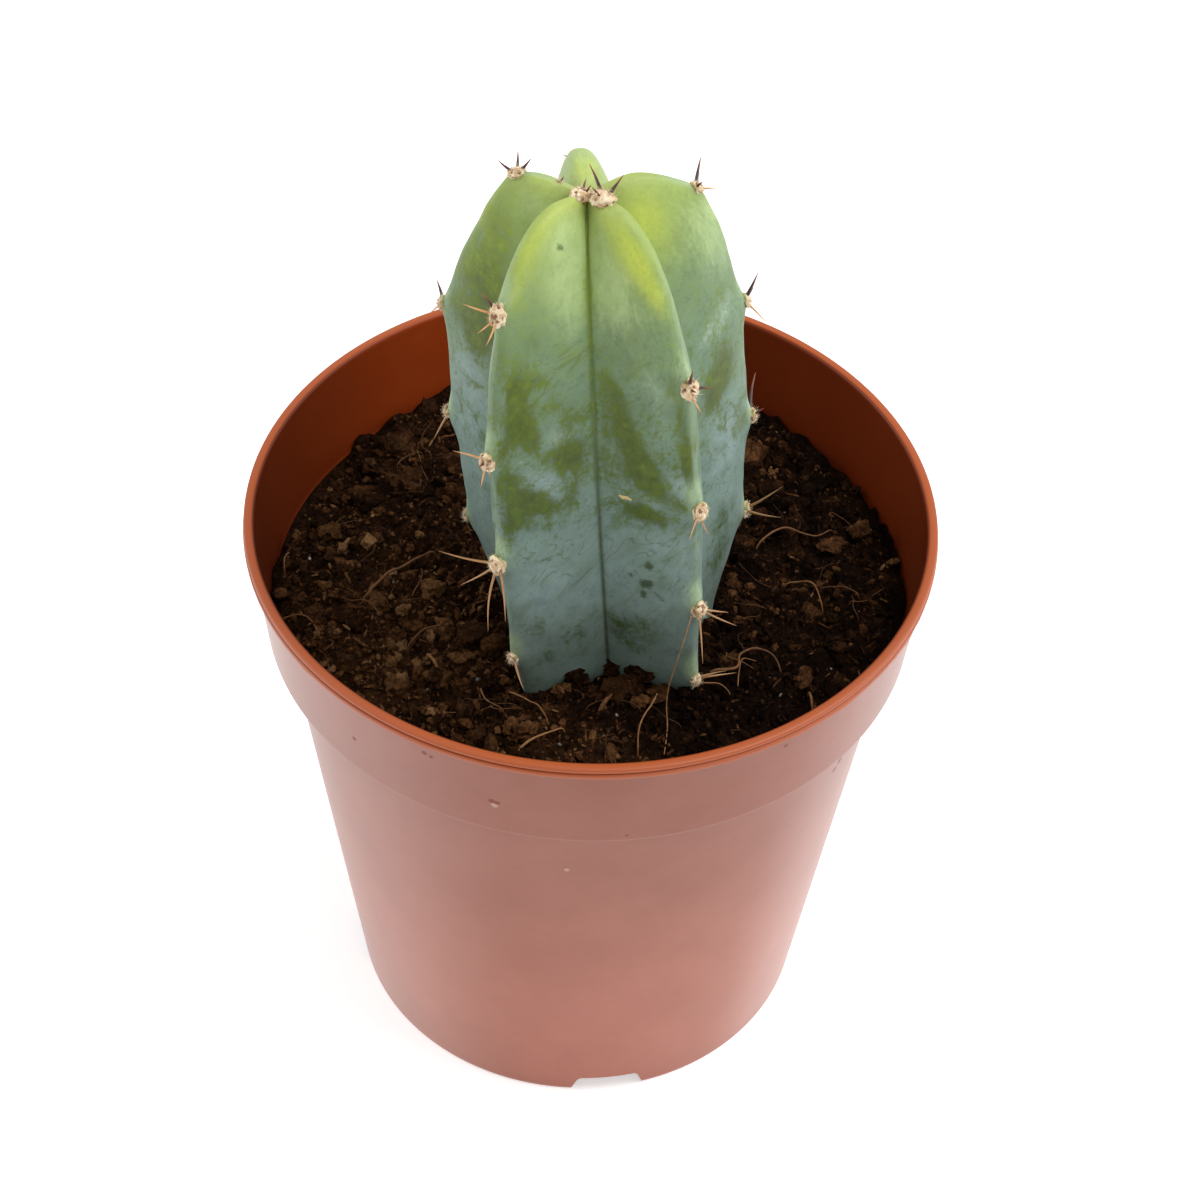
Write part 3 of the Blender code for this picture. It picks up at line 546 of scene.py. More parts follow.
# Marks on the skin of each rib. Each row is the share of the flank from the crest (0) to the
# groove on the side of lower azimuths (-1) or higher ones (1), then in millimetres the distance
# from the growing tip and the mark's half width and half length, then its strength, and in
# degrees, where it leans, how far its long axis leans to higher azimuths as it runs down
SKIN_MARKS = {
    # Rubbed marks are patches where the bloom is rubbed off, and on the front left rib one row of
    # painted shade.
    "rubbed": {
        "front_left": (
            # The first row below is painted shade, not rubbing: a faint broad darkening of the
            # upper flank.
            (0.55, 17, 3.4, 7, 0.4), (0.98, 13, 0.45, 10, 0.8), (0.5, 22.5, 0.9, 1.3, 0.6),
            (0.4, 25, 1.6, 1.4, 0.35), (0.33, 28.6, 1.7, 3, 1.35), (0.36, 33, 1.8, 2.8, 1.25, 12),
            (0.58, 28, 1.2, 1.4, 0.7, 20), (0.74, 32, 0.9, 2, 0.6, 10),
            (0.47, 36, 1.1, 2.2, 0.8, 15), (0.2, 36.5, 1.1, 2.4, 0.9, -10),
            (0.82, 39, 1.4, 2.9, 1.5), (0.7, 39.4, 0.9, 1.5, 0.6), (0.3, 40.6, 1.3, 1.2, 0.6),
            (0.26, 43.6, 1.7, 2.6, 1.25, 15), (0.46, 44.4, 1.8, 2, 1), (0.25, 46.8, 1.7, 1.8, 1),
            (0.6, 46, 1.8, 1.6, 0.9), (0.8, 44.4, 1.1, 2.8, 0.85), (0.5, 48.8, 3.4, 1.3, 0.6),
            (0.5, 54.5, 2.6, 1.1, 0.42), (0.35, 65, 2.4, 2.6, 0.5), (0.75, 68, 1.8, 3, 0.55),
            (0.47, 71.5, 1.8, 1.8, 0.6), (0.5, 38, 5.5, 9, 0.34), (0.12, 29, 1, 4, 0.3),
            (0.1, 24.6, 1, 3, 0.5), (0.08, 42.4, 0.7, 1.6, 0.6), (0.16, 49, 1, 2.4, 0.8),
        ),
        "front_right": (
            (-0.98, 13, 0.45, 10, 0.8), (-0.6, 21.5, 0.9, 1.3, 0.8),
            (-0.82, 29.8, 0.9, 2.8, 1, 20), (-0.77, 34, 1, 3, 1.1, 15), (-0.53, 31, 0.6, 0.7, 0.6),
            (-0.7, 37.4, 1.4, 2.4, 1.1, 20), (-0.57, 40.8, 1.4, 2.6, 1.5),
            (-0.8, 41, 1.5, 2.4, 0.6), (-0.42, 43, 1.3, 2, 0.75, 30), (-0.58, 46.6, 2, 1.7, 1.15),
            (-0.8, 46.5, 1.7, 2, 0.5), (-0.92, 36, 0.7, 5, 0.5), (-0.4, 47.5, 1.2, 1.4, 0.55),
            (-0.16, 31.6, 1, 3, 0.8), (-0.12, 38.5, 0.9, 2.6, 0.8), (-0.66, 65.8, 2.8, 2.2, 0.7),
            (-0.72, 70.2, 2.2, 2, 0.45), (-0.88, 67.5, 1.4, 2.6, 0.7),
            (-0.35, 63.8, 1.5, 1.6, 0.6), (-0.62, 39, 4.5, 9, 0.38), (-0.1, 36.6, 0.9, 3.6, 1),
            (-0.22, 44.5, 1, 2, 0.6, 20), (-0.28, 38.6, 1.6, 2.4, 0.55),
        ),
        "back_right": (
            (-0.55, 37.5, 2.4, 3.8, 1.7, -15), (-0.74, 40.5, 1.4, 3, 1.2),
            (-0.4, 24.5, 2.8, 3.2, 0.5), (-0.75, 26, 1.4, 4, 0.4), (0.25, 24, 2, 3, 0.5),
            (-0.55, 67, 2.8, 5, 0.85), (-0.6, 60, 1.8, 3, 0.6), (0.5, 44, 2.2, 6, 0.8, 10),
            (0.62, 62, 2.2, 3.5, 0.6),
        ),
        "back": (
            (-0.55, 30, 1.8, 4, 0.8, 10), (0.4, 41, 2, 5, 0.9, -12), (0.65, 60, 1.6, 4, 0.6),
            (-0.5, 55, 1.6, 3, 0.6),
        ),
        "back_left": (
            (0.3, 15, 2.6, 5, 0.6), (0.6, 17, 2.8, 5, 0.7), (0.4, 24.5, 4.4, 5, 1),
            (0.78, 24.5, 2.6, 4.6, 0.8), (0.5, 30.5, 3.2, 2.6, 0.9), (0.64, 33.4, 1.8, 3.2, 1.3),
            (0.86, 31, 1.4, 4, 0.7), (0.4, 51.5, 0.8, 0.9, 0.6), (-0.5, 38, 2, 5, 0.8),
            (-0.62, 55, 1.6, 3.5, 0.7, 12),
        ),
    },
    "sunned": {
        "front_left": (
            (0.3, 6, 2, 4, 0.5), (0.15, 12, 1.8, 4.5, 0.9), (0.1, 17, 1.6, 2.6, 0.5),
            (0.7, 2, 1.6, 2.4, 0.7),
        ),
        "front_right": (
            (-0.46, 7.5, 1.4, 3.2, 0.7, 8), (-0.33, 12.4, 1.8, 3.4, 1.5, 12),
            (-0.18, 16.8, 1.6, 2.6, 0.9, 12), (-0.6, 2, 1.6, 2.4, 0.6),
        ),
        "back_right": (
            (-0.9, 9.5, 1.6, 3.4, 0.7), (-0.85, 14, 1.4, 3.6, 0.5), (0.1, 20, 1.4, 4, 0.3),
            (-0.72, 9, 2.2, 4, 0.45), (0.4, 4, 2, 3, 0.4),
        ),
        "back": (
            (0.43, 4.5, 1.8, 2.4, 0.8), (-0.4, 4.5, 1.8, 2.4, 0.7),
        ),
        "back_left": (
            (0.1, 16, 1.8, 3.4, 0.55), (0.6, 6, 2, 3, 0.6),
        ),
    },
    "bloomed": {
        "front_left": (
            (0.55, 57.5, 4.5, 4, 0.8), (0.86, 13, 1.8, 8, 1.1), (0.55, 9, 2, 4, 0.5),
            (0.72, 36, 1.6, 1.6, 1), (0.5, 41.4, 1.6, 1.8, 1.2, 30),
            (0.66, 43.4, 0.9, 1.8, 1.1, 20), (0.2, 30, 1, 3, 0.6), (0.7, 62, 3, 3, 0.9),
            (0.3, 60, 2.4, 3, 0.8), (0.85, 35, 1.2, 5, 0.35),
        ),
        "front_right": (
            (-0.84, 13, 1.8, 9, 1), (-0.6, 17, 1.4, 5, 0.5), (-0.4, 29, 1.6, 3, 0.75, 15),
            (-0.38, 35, 1.4, 3.4, 0.55), (-0.85, 55, 1.6, 5, 0.7), (-0.5, 51.5, 3.2, 2, 0.6),
            (-0.5, 61.5, 3.4, 1.6, 0.6), (-0.25, 53, 1.4, 2.6, 0.6),
            (-0.22, 41.6, 1.1, 2.2, 1, 20), (-0.52, 45, 1.1, 1, 0.8),
        ),
        "back_right": (
            (-0.68, 31, 0.7, 3.2, 1, -35), (-0.45, 30, 0.7, 3, 0.9, -35),
            (-0.2, 31, 1.3, 2.4, 0.5), (-0.55, 49, 2.6, 7, 1.3), (-0.15, 58, 2, 7, 0.7),
            (-0.25, 15.5, 2.2, 2.8, 0.6), (-0.35, 21, 3, 6, 0.8), (0.4, 52, 3, 7, 0.7),
        ),
        "back": (
            (0.1, 6, 4, 6, 0.7), (0, 52, 5, 9, 0.7),
        ),
        "back_left": (
            (0.8, 8, 2, 4, 0.8), (0.45, 42, 4, 6, 1.3), (0.45, 56, 4, 7, 0.7),
            (-0.4, 48, 3, 8, 0.7),
        ),
    },
    "frosted": {
        "front_left": (
            (0.38, 38.6, 0.45, 1.7, 0.9, -60), (0.48, 40.4, 0.4, 1.5, 0.9, -55),
            (0.6, 41.6, 0.45, 1.3, 0.9, -30), (0.66, 43.2, 0.4, 1.4, 0.8, -15),
            (0.46, 50.6, 0.5, 1.6, 0.6, -70), (0.68, 36, 0.5, 2.2, 0.6, 10),
            (0.12, 33, 0.6, 3, 0.6),
        ),
        "front_right": (
            (-0.58, 35.2, 0.45, 1.6, 0.8, -25), (-0.5, 37, 0.45, 1.4, 0.7, -60),
            (-0.36, 45.4, 0.45, 1.6, 0.8, -50), (-0.5, 49.6, 0.5, 2.2, 0.6, -65),
            (-0.3, 49, 0.5, 2, 0.6, -40), (-0.84, 44, 0.35, 2.6, 0.5),
        ),
        "back_right": (
            (-0.72, 31.5, 0.4, 3.4, 0.9, -42), (-0.6, 29, 0.25, 3, 0.8, -40),
            (-0.52, 31.6, 0.35, 3.2, 0.9, -42), (-0.3, 30.4, 0.55, 2.6, 0.9, -35),
            (-0.84, 26, 0.4, 2.6, 0.7, -30), (-0.36, 42, 0.7, 4, 0.6),
        ),
        "back_left": (
            (0.4, 38.6, 1.4, 1.2, 0.5), (0.3, 21, 0.5, 3, 0.5, 10),
        ),
    },
    "scuffed": {
        "front_left": (
            (0.52, 54, 1.3, 0.4, 0.6, 12), (0.6, 55.6, 0.8, 0.4, 0.6, -20),
            (0.42, 55.8, 0.5, 0.35, 0.5), (0.67, 10.5, 0.35, 0.4, 0.8),
            (0.47, 71.5, 0.8, 0.8, 0.7), (0.92, 64, 0.5, 1.2, 0.5),
        ),
        "front_right": (
            (-0.57, 55, 0.55, 0.8, 1), (-0.6, 58.2, 1, 0.75, 1.2, 40),
            (-0.47, 60, 0.4, 0.9, 0.9, 30), (-0.64, 60.3, 0.4, 0.9, 1, -25),
            (-0.75, 57.4, 0.35, 2.6, 0.6, -42), (-0.66, 70.8, 1.3, 1.2, 0.4),
            (-0.53, 31, 0.45, 0.35, 0.6),
        ),
        "back_left": ((0.4, 51.5, 0.5, 0.6, 0.7),),
    },
    "scarred": {
        "front_left": ((0.4, 50.2, 0.5, 0.2, 0.55, -8),),
        "front_right": (
            (-0.77, 45, 0.75, 0.36, 1.2, 8), (-0.7, 45.6, 0.3, 0.2, 0.7),
        ),
        "back": ((0.3, 27, 0.5, 0.3, 0.9),),
    },
}


def bell(value, centre, spread):
    """1 at the centre, and less and less on either side."""
    return np.exp(-(((value - centre) / spread) ** 2))


def smooth_path(points, steps):
    """A curve through a row of points."""
    points = np.asarray(points, float)
    last = len(points) - 1
    places = np.linspace(0.0, last, steps)
    index = np.minimum(places.astype(int), last - 1)
    f = (places - index)[:, None]
    p = points[np.maximum(index - 1, 0)]
    q = points[index]
    r = points[index + 1]
    s = points[np.minimum(index + 2, last)]
    return 0.5 * (2 * q + (r - p) * f + (2 * p - 5 * q + 4 * r - s) * f**2
                  + (3 * q - p - 3 * r + s) * f**3)


def crest_walk():
    """Distances from the growing tip along the shared crest, with the outline at each."""
    rows = smooth_path(OUTLINE, (len(OUTLINE) - 1) * STEPS_PER_ROW + 1) * MM
    steps = np.hypot(np.diff(rows[:, 0]), np.diff(rows[:, 1]))
    return np.concatenate([[0.0], np.cumsum(steps)]), rows


WALKED, WALK_ROWS = crest_walk()


def soften(w, rounding):
    """w from 0 to 1, rounded near 0 so that the crest isn't a knife edge."""
    return (np.hypot(w, rounding) - rounding) / (np.hypot(1.0, rounding) - rounding)


def half_angles(name):
    """Half the angle to the rib on either side: towards lower azimuths, then higher."""
    names = list(RIBS)
    index = names.index(name)
    lower = RIBS[names[index - 1]].azimuth
    higher = RIBS[names[(index + 1) % len(names)]].azimuth
    azimuth = RIBS[name].azimuth
    return ((azimuth - lower) % 360.0) / 2, ((higher - azimuth) % 360.0) / 2


def skin_points(name, w, distance):
    """Points of a rib's skin: w runs from -1 in one groove over 0 on the crest to 1."""
    rib = RIBS[name]
    w, distance = np.broadcast_arrays(np.asarray(w, float), np.asarray(distance, float))
    crest, crest_height, groove, groove_height = (
        np.interp(distance, WALKED, WALK_ROWS[:, column]) for column in range(4)
    )
    crest = crest * rib.girth
    crest = crest - rib.shoulder * MM * bell(distance, SHOULDER_AT, SHOULDER_SPREAD)
    crest = crest - rib.foot * MM * bell(distance, FOOT_AT, FOOT_SPREAD)
    crest_height = crest_height - rib.crown * MM * bell(distance, CROWN_AT, CROWN_SPREAD)
    for place in rib.areoles:
        bump = AREOLE_BUMP * bell(w, 0.0, AREOLE_BUMP_WIDTH)
        bump = bump * bell(distance, place * MM, AREOLE_SPREAD)
        crest = crest + bump * np.minimum(1.0, distance / CROWN_AT)
    crown = bell(distance, 0.0, CROWN_REACH)
    rounding, hollow, power = (
        low + added * crown for low, added in (CREST_ROUNDING, FLANK_HOLLOW, FLANK_FALL)
    )
    share = np.abs(w)
    fuller = share ** (1.0 + rib.dome * crown)
    fall = (1.0 - hollow) * soften(fuller, rounding) + hollow * fuller**2
    lower, higher = half_angles(name)
    half = np.radians(np.where(w < 0.0, lower, higher))
    along = crest + (groove * np.cos(half) - crest) * fall
    height = crest_height + (groove_height - crest_height) * fuller**power
    out = heading(rib.azimuth)
    side = np.array((-out[1], out[0], 0.0))
    across = np.sign(w) * groove * np.sin(half) * share
    return (STEM_BASE + STEM_LEAN * height[..., None] + out * along[..., None]
            + side * across[..., None])


def wavy(points, width, layers=1):
    """Smooth noise from about -1 to 1 at each point, in patches of a width."""
    return np.array([noise.fractal(Vector(p) / width, 1.0, 2.0, layers) for p in points])


def marked(rows, w, distance):
    """How strongly the skin of a rib carries its marks of one kind."""
    total = np.zeros(np.broadcast(w, distance).shape)
    for row in rows:
        share, place, width, length, strength, lean = (*row, 0)[:6]
        across = (w - share) * np.interp(distance, *FLANK_WIDTHS)
        along = distance - place * MM
        angle = math.radians(lean)
        u = across * math.cos(angle) - along * math.sin(angle)
        v = along * math.cos(angle) + across * math.sin(angle)
        total += strength * bell(u, 0.0, width * MM) * bell(v, 0.0, length * MM)
    return total


def halo(name, w, distance):
    """The pale ring of young tissue round each areole, longer above it than below."""
    total = np.zeros(np.broadcast(w, distance).shape)
    for place in RIBS[name].areoles:
        total += bell(w, 0.0, HALO_WIDTH) * bell(distance, (place - HALO_ABOVE) * MM, HALO_LENGTH)
    return total


def make_skin():
    """The skin as one closed grid, with what its material reads at each point."""
    t = np.linspace(0.0, 1.0, FLANK_COLUMNS + 1)
    flank = t - CROWDING * np.sin(2 * np.pi * t) / (2 * np.pi)
    shares = np.concatenate([-flank[:0:-1], flank[:-1]])
    distances = WALKED[-1] * np.linspace(0.0, 1.0, SKIN_ROWS)[:, None]
    grids, marks = [], {}
    for name, rib in RIBS.items():
        grids.append(skin_points(name, shares, distances))
        full = np.broadcast_to(shares, grids[-1].shape[:2])
        down = np.broadcast_to(distances, full.shape)
        angle = np.radians(rib.azimuth + full * np.where(full < 0.0, *half_angles(name)))
        round_about = (GIRTH_RADIUS * np.sin(angle), GIRTH_RADIUS * np.cos(angle), down)
        # The ridge mark is a painted highlight: a thin pale line along each crest below the crown.
        below_crown = np.clip((down - CREST_HIGHLIGHT_FROM) / CREST_HIGHLIGHT_FADE, 0.0, 1.0)
        values = {
            "down": down / MM,
            "unrolled": np.stack(round_about, -1),
            "crease": bell(np.abs(full), 1.0, CREASE_SHARE),
            "ridge": bell(full, 0.0, CREST_HIGHLIGHT_WIDTH) * below_crown,
            "halo": halo(name, full, down),
        }
        for mark, ribs in SKIN_MARKS.items():
            values[mark] = marked(ribs.get(name, ()), full, down)
        for mark, part in values.items():
            marks.setdefault(mark, []).append(part)
    grid = np.concatenate(grids, axis=1)
    marks = {key: np.concatenate(parts, axis=1) for key, parts in marks.items()}
    along = np.gradient(grid, axis=0)
    across = np.roll(grid, -1, 1) - np.roll(grid, 1, 1)
    normals = np.cross(along, across)
    normals /= np.maximum(np.linalg.norm(normals, axis=-1, keepdims=True), 1e-12)
    flat = grid.reshape(-1, 3)
    relief = sum(height * wavy(flat, width) for height, width in SKIN_WAVES).reshape(grid.shape[:2])
    fade = np.minimum(1.0, np.arange(SKIN_ROWS) / TIP_ROWS)[:, None]
    relief = relief * fade - GROOVE_CREASE * marks["crease"] * fade
    relief += SCAR_RISE * marks["scarred"]
    grid = grid + normals * relief[..., None]
    marks = {key: values.reshape(flat.shape[0], *values.shape[2:]) for key, values in marks.items()}
    return make_piece("stem_skin", grid.reshape(-1, 3), grid_faces(*grid.shape[:2]), marks, 180.0)


def waxy_skin():
    """Leathery skin under a thin coat of wax bloom, with the bloom missing where it was rubbed."""
    material, shader, tap = new_finish("waxy_skin", IOR=1.45, Specular_IOR_Level=0.25)
    where = tap.place()
    unrolled = tap.track("unrolled")
    lengthwise = unrolled.stretched((1.0, 1.0, 0.3))
    slantwise = unrolled.turned((0.0, 0.6, 0.5)).stretched((1.0, 1.0, 0.25))
    down = tap.mark("down")
    fine = tap.grain(where, 1900.0, 4.0, 0.65)
    middle = tap.grain(where, 520.0, 5.0, 0.62, 0.4)
    broad = tap.grain(where, 120.0, 3.0, 0.5)
    patchy = tap.grain(where, 300.0, 3.0, 0.5)
    streaks = tap.grain(lengthwise, 900.0, 5.0, 0.65, 0.8)
    slanted = tap.grain(slantwise, 650.0, 5.0, 0.65, 0.6)
    crown = 1.0 - down.rise(10.0, 30.0)
    waxed = (down / TONED_LENGTH).ramp(
        (0.0, (0.385, 0.45, 0.14)),
        (0.12, (0.26, 0.346, 0.096)),
        (0.24, (0.162, 0.242, 0.114)),
        (0.38, (0.142, 0.22, 0.134)),
        (0.55, (0.165, 0.24, 0.208)),
        (0.74, (0.21, 0.29, 0.262)),
        (1.0, (0.11, 0.15, 0.118)),
    )
    bare = (down / TONED_LENGTH).ramp(
        (0.0, (0.25, 0.32, 0.035)),
        (0.2, (0.15, 0.205, 0.026)),
        (0.3, (0.092, 0.132, 0.014)),
        (0.38, (0.071, 0.104, 0.007)),
        (0.6, (0.05, 0.08, 0.014)),
        (1.0, (0.05, 0.078, 0.026)),
    )
    frost = down.rise(14.0, 40.0).tint((0.37, 0.48, 0.21), (0.22, 0.3, 0.285))
    # Bloom lies thicker in places, in streaks; where it was rubbed it is thin, with ragged edges
    # and some of it left in strokes.
    bloom = tap.mark("bloomed") * 0.9 + (streaks - 0.5) * 1.6 + (broad - 0.5) * 1.2
    bloom = bloom.rise(0.0, 1.2)
    # This carries the rubbed patches and also the front left rib's row of painted shade.
    worn_and_shaded = tap.mark("rubbed") - tap.mark("bloomed") * 0.45 + (middle - 0.5) * 1.7
    worn_and_shaded = (worn_and_shaded + (streaks - 0.5) * 1.7 + (fine - 0.5) * 1.3).rise(0.12, 1.3)
    thin = patchy + (slanted - 0.5) * 2.0 + (fine - 0.5) * 1.3 + (middle - 0.5) * 0.8
    thin = thin.rise(0.32, 0.98) * down.rise(14.0, 34.0) * (1.0 - down.rise(46.0, 53.0) * 0.45)
    left = (tap.mark("frosted") * 0.8 + (slanted - 0.5) * 1.9 + (fine - 0.5) * 1.2).rise(0.4, 1.1)
    # Hair-fine wandering scratches run through two belts of the skin.
    scratch = tap.math("ABSOLUTE", tap.grain(slantwise, 420.0, 2.0, 0.5, 1.4) - 0.5)
    upper_belt = down.rise(18.0, 26.0) * (1.0 - down.rise(32.0, 38.0))
    lower_belt = down.rise(44.0, 50.0) * (1.0 - down.rise(57.0, 63.0))
    scratch = (1.0 - scratch.rise(0.0, 0.024)) * broad.rise(0.36, 0.56) * (upper_belt + lower_belt)
    colour = (bloom * 0.85).tint(waxed, frost)
    colour = (thin * 0.85).tint(colour, bare)
    # Yellow-green streaks near the crown.
    sunned = (tap.mark("sunned") + (middle - 0.5) * 0.2 + (streaks - 0.5) * 0.15).rise(0.0, 1.7)
    colour = sunned.tint(colour, (0.43, 0.505, 0.08))
    colour = (tap.mark("halo").rise(0.12, 0.9) * 0.72).tint(colour, (0.3, 0.405, 0.225))
    colour = worn_and_shaded.tint(colour, bare.times(0.15 + streaks * 0.8 + middle * 0.9))
    colour = (left * 0.55).tint(colour, (0.29, 0.375, 0.32))
    colour = (scratch * 0.42).tint(colour, bare.times(0.8))
    # A painted highlight along each crest.
    colour = (tap.mark("ridge") * (streaks * 0.5)).tint(colour, (0.27, 0.31, 0.18))
    # A thin darker line is painted along each groove: painted shade of the narrow crease.
    groove = down.rise(14.0, 50.0).tint((0.17, 0.235, 0.014), (0.062, 0.09, 0.036))
    colour = (tap.mark("crease") * 0.9).tint(colour, groove)
    scuffed = (tap.mark("scuffed") + (middle - 0.5) * 1.2 + (fine - 0.5) * 0.8).rise(0.25, 0.85)
    colour = (scuffed * 0.85).tint(colour, (0.034, 0.056, 0.022))
    scarred = (tap.mark("scarred") + (middle - 0.5) * 0.6 + (fine - 0.5) * 0.5).rise(0.42, 0.6)
    colour = scarred.tint(colour, (0.52, 0.39, 0.16))
    mottle = (middle - 0.5) * 0.7 + (fine - 0.5) * 0.8 + (slanted - 0.5) * 0.6
    colour = colour.times(1.0 + mottle * (1.0 - crown * 0.6))
    feed(shader, Base_Color=colour, Roughness=0.46 - worn_and_shaded * 0.1 + (streaks - 0.5) * 0.2,
         Normal=tap.bump(fine * 0.4 + middle * 0.6 + worn_and_shaded * 0.15, 0.08 * MM))
    return material


dress(make_skin(), waxy_skin(), "cactus_stem")


# Areoles
# The felted cushions on the crests from which the spines grow: a lump of cream wool with short
# matted hairs, browner and bare in the middle. The young ones by the growing tip are small.

AREOLE_WIDTH = 1.1 * MM
AREOLE_LENGTH = 1.45 * MM
AREOLE_RISE = 0.85 * MM
WOOL_LUMP = 0.8 * MM
LUMPINESS = 0.28
FELT_HAIRS = 240
FELT_LENGTH = (0.12 * MM, 0.45 * MM)
FELT_RADIUS = 0.024 * MM
AREOLE_SEED = 6
# The size of each areole from the growing tip down, as a share of a grown one
AREOLE_SIZES = {
    "front_left": (0.95, 0.95, 0.85, 0.95, 0.6),
    "front_right": (1.12, 0.92, 0.85, 0.85, 0.65),
    "back_right": (0.65, 0.65, 0.65, 0.7),
    "back": (0.6, 0.8, 0.8, 0.8),
    "back_left": (0.15, 0.7, 0.6, 0.6, 0.6),
}


def areole_frame(name, place):
    """Centre on the crest, the direction out of it, up along it and to the side."""
    distance = place * MM
    reach = 1.5 * MM
    centre = skin_points(name, 0.0, distance)
    above = skin_points(name, 0.0, max(distance - reach, 0.0))
    up = above - skin_points(name, 0.0, distance + reach)
    up /= np.linalg.norm(up)
    level = heading(RIBS[name].azimuth)
    side = np.array((-level[1], level[0], 0.0))
    out = np.cross(side, up)
    return centre, out / np.linalg.norm(out), up, side


def sweep(path, radii, sides):
    """A closed strand of round section along a path, as points, faces and the share along it."""
    path = np.asarray(path, float)
    heads = np.gradient(path, axis=0)
    heads /= np.linalg.norm(heads, axis=1, keepdims=True)
    across = np.cross(heads[0], (0.31, 0.52, 0.79))
    turn = np.arange(sides) * 2 * np.pi / sides
    rings = []
    for spot, head, radius in zip(path, heads, radii):
        across = across - head * across.dot(head)
        across /= np.linalg.norm(across)
        other = np.cross(head, across)
        section = np.outer(np.cos(turn), across) + np.outer(np.sin(turn), other)
        rings.append(spot + radius * section)
    points = np.concatenate(rings + [path[:1], path[-1:]])
    faces = grid_faces(len(path), sides).tolist()
    first, last = len(points) - 2, len(points) - 1
    start = (len(path) - 1) * sides
    for a in range(sides):
        b = (a + 1) % sides
        faces.append([first, b, a])
        faces.append([last, start + a, start + b])
    share = np.concatenate([np.repeat(np.linspace(0.0, 1.0, len(path)), sides), [0.0, 1.0]])
    return points, faces, share


def bundle(name, strands, sharp=180.0):
    """One piece of many parts, each given as points, faces and its marks."""
    points, faces, marks = [], [], {}
    start = 0
    for part_points, part_faces, part_marks in strands:
        points.append(part_points)
        faces.extend([[corner + start for corner in face] for face in part_faces])
        for key, values in part_marks.items():
            marks.setdefault(key, []).append(np.broadcast_to(values, len(part_points)))
        start += len(part_points)
    marks = {key: np.concatenate(parts) for key, parts in marks.items()}
    return make_piece(name, np.concatenate(points), faces, marks, sharp)


def felt_lump(draw, areole, size):
    """The lump of matted wool: a dome, uneven by noise, with the tone of each point."""
    centre, out, up, side = areole
    shape = bmesh.new()
    bmesh.ops.create_icosphere(shape, subdivisions=4, radius=1.0)
    ball = np.array([vert.co[:] for vert in shape.verts])
    faces = [[vert.index for vert in face.verts] for face in shape.faces]
    shape.free()
    offset = draw.uniform(-9.0, 9.0, 3)
    lumps = wavy(ball * AREOLE_LENGTH + offset, WOOL_LUMP, 3)
    ball = ball * (1.0 + LUMPINESS * lumps[:, None])
    stretch = np.array((AREOLE_WIDTH, AREOLE_LENGTH, AREOLE_RISE)) * size
    local = ball * stretch
    points = centre + local[:, :1] * side + local[:, 1:2] * up + local[:, 2:] * out
    rim = 1.0 - np.clip(ball[:, 2] / 0.8, 0.0, 1.0)
    hollow = np.clip(0.5 - 0.9 * lumps, 0.0, 1.0)
    return points, faces, {"hollow": hollow, "rim": rim, "upper": ball[:, 1]}


def felt_hair(draw, areole, size):
    """One hair of the wool, from somewhere on the lump, leaning outwards and curling."""
    centre, out, up, side = areole
    direction = draw.normal(size=3)
    direction[2] = abs(direction[2]) * 0.9 + 0.15
    direction /= np.linalg.norm(direction)
    stretch = np.array((AREOLE_WIDTH, AREOLE_LENGTH, AREOLE_RISE)) * size * 0.92
    frame_axes = np.stack([side, up, out])
    root = centre + (direction * stretch) @ frame_axes
    lean = direction + draw.normal(size=3) * 0.8
    lean = (lean / np.linalg.norm(lean)) @ frame_axes
    curl = draw.normal(size=3) * 0.5
    length = draw.uniform(*FELT_LENGTH) * (0.6 + 0.4 * size)
    f = np.linspace(0.0, 1.0, 4)[:, None]
    path = root + length * (f * lean + f**2 * curl)
    points, faces, share = sweep(path, FELT_RADIUS * (1.0 - 0.75 * f[:, 0]), 3)
    return points, faces, {"tip": share, "tone": draw.uniform(0.0, 1.0)}


def woolly():
    """Cream wool, brown in its hollows and greenish where its upper rim meets the skin."""
    material, shader, tap = new_finish("areole_wool", Roughness=0.95, Specular_IOR_Level=0.1)
    where = tap.place()
    fine = tap.grain(where, 4200.0, 3.0, 0.7)
    patchy = tap.grain(where, 1000.0, 3.0, 0.6)
    colour = patchy.rise(0.35, 0.65).tint((0.56, 0.38, 0.22), (0.86, 0.73, 0.52))
    brown = tap.mark("hollow").rise(0.46, 0.9) * 0.8 + (fine - 0.5) * 0.7
    colour = brown.rise(0.2, 0.85).tint(colour, (0.25, 0.115, 0.052))
    green = tap.mark("rim").rise(0.6, 1.0) * tap.mark("upper").rise(0.1, 0.8)
    colour = (green * 0.6).tint(colour, (0.27, 0.32, 0.1))
    feed(shader, Base_Color=colour.times(0.7 + fine * 0.6), Normal=tap.bump(fine, 0.15 * MM))
    return material


def felt_fibre():
    """Single hairs of the wool, browner at the root."""
    material, shader, tap = new_finish("areole_felt", Roughness=0.9, Specular_IOR_Level=0.2)
    colour = tap.mark("tone").tint((0.58, 0.4, 0.23), (0.92, 0.82, 0.62))
    clean = tap.mark("tip").rise(0.0, 0.5) * 0.5 + 0.5
    feed(shader, Base_Color=clean.tint((0.3, 0.17, 0.07), colour))
    return material


draw = np.random.default_rng(AREOLE_SEED)
lumps, hairs = [], []
for name, rib in RIBS.items():
    for place, size in zip(rib.areoles, AREOLE_SIZES[name]):
        areole = areole_frame(name, place)
        lumps.append(felt_lump(draw, areole, size))
        hairs.extend(felt_hair(draw, areole, size) for _ in range(FELT_HAIRS))
dress(bundle("areole_wool", lumps), woolly(), "cactus_stem")
dress(bundle("areole_felt", hairs), felt_fibre(), "cactus_stem")


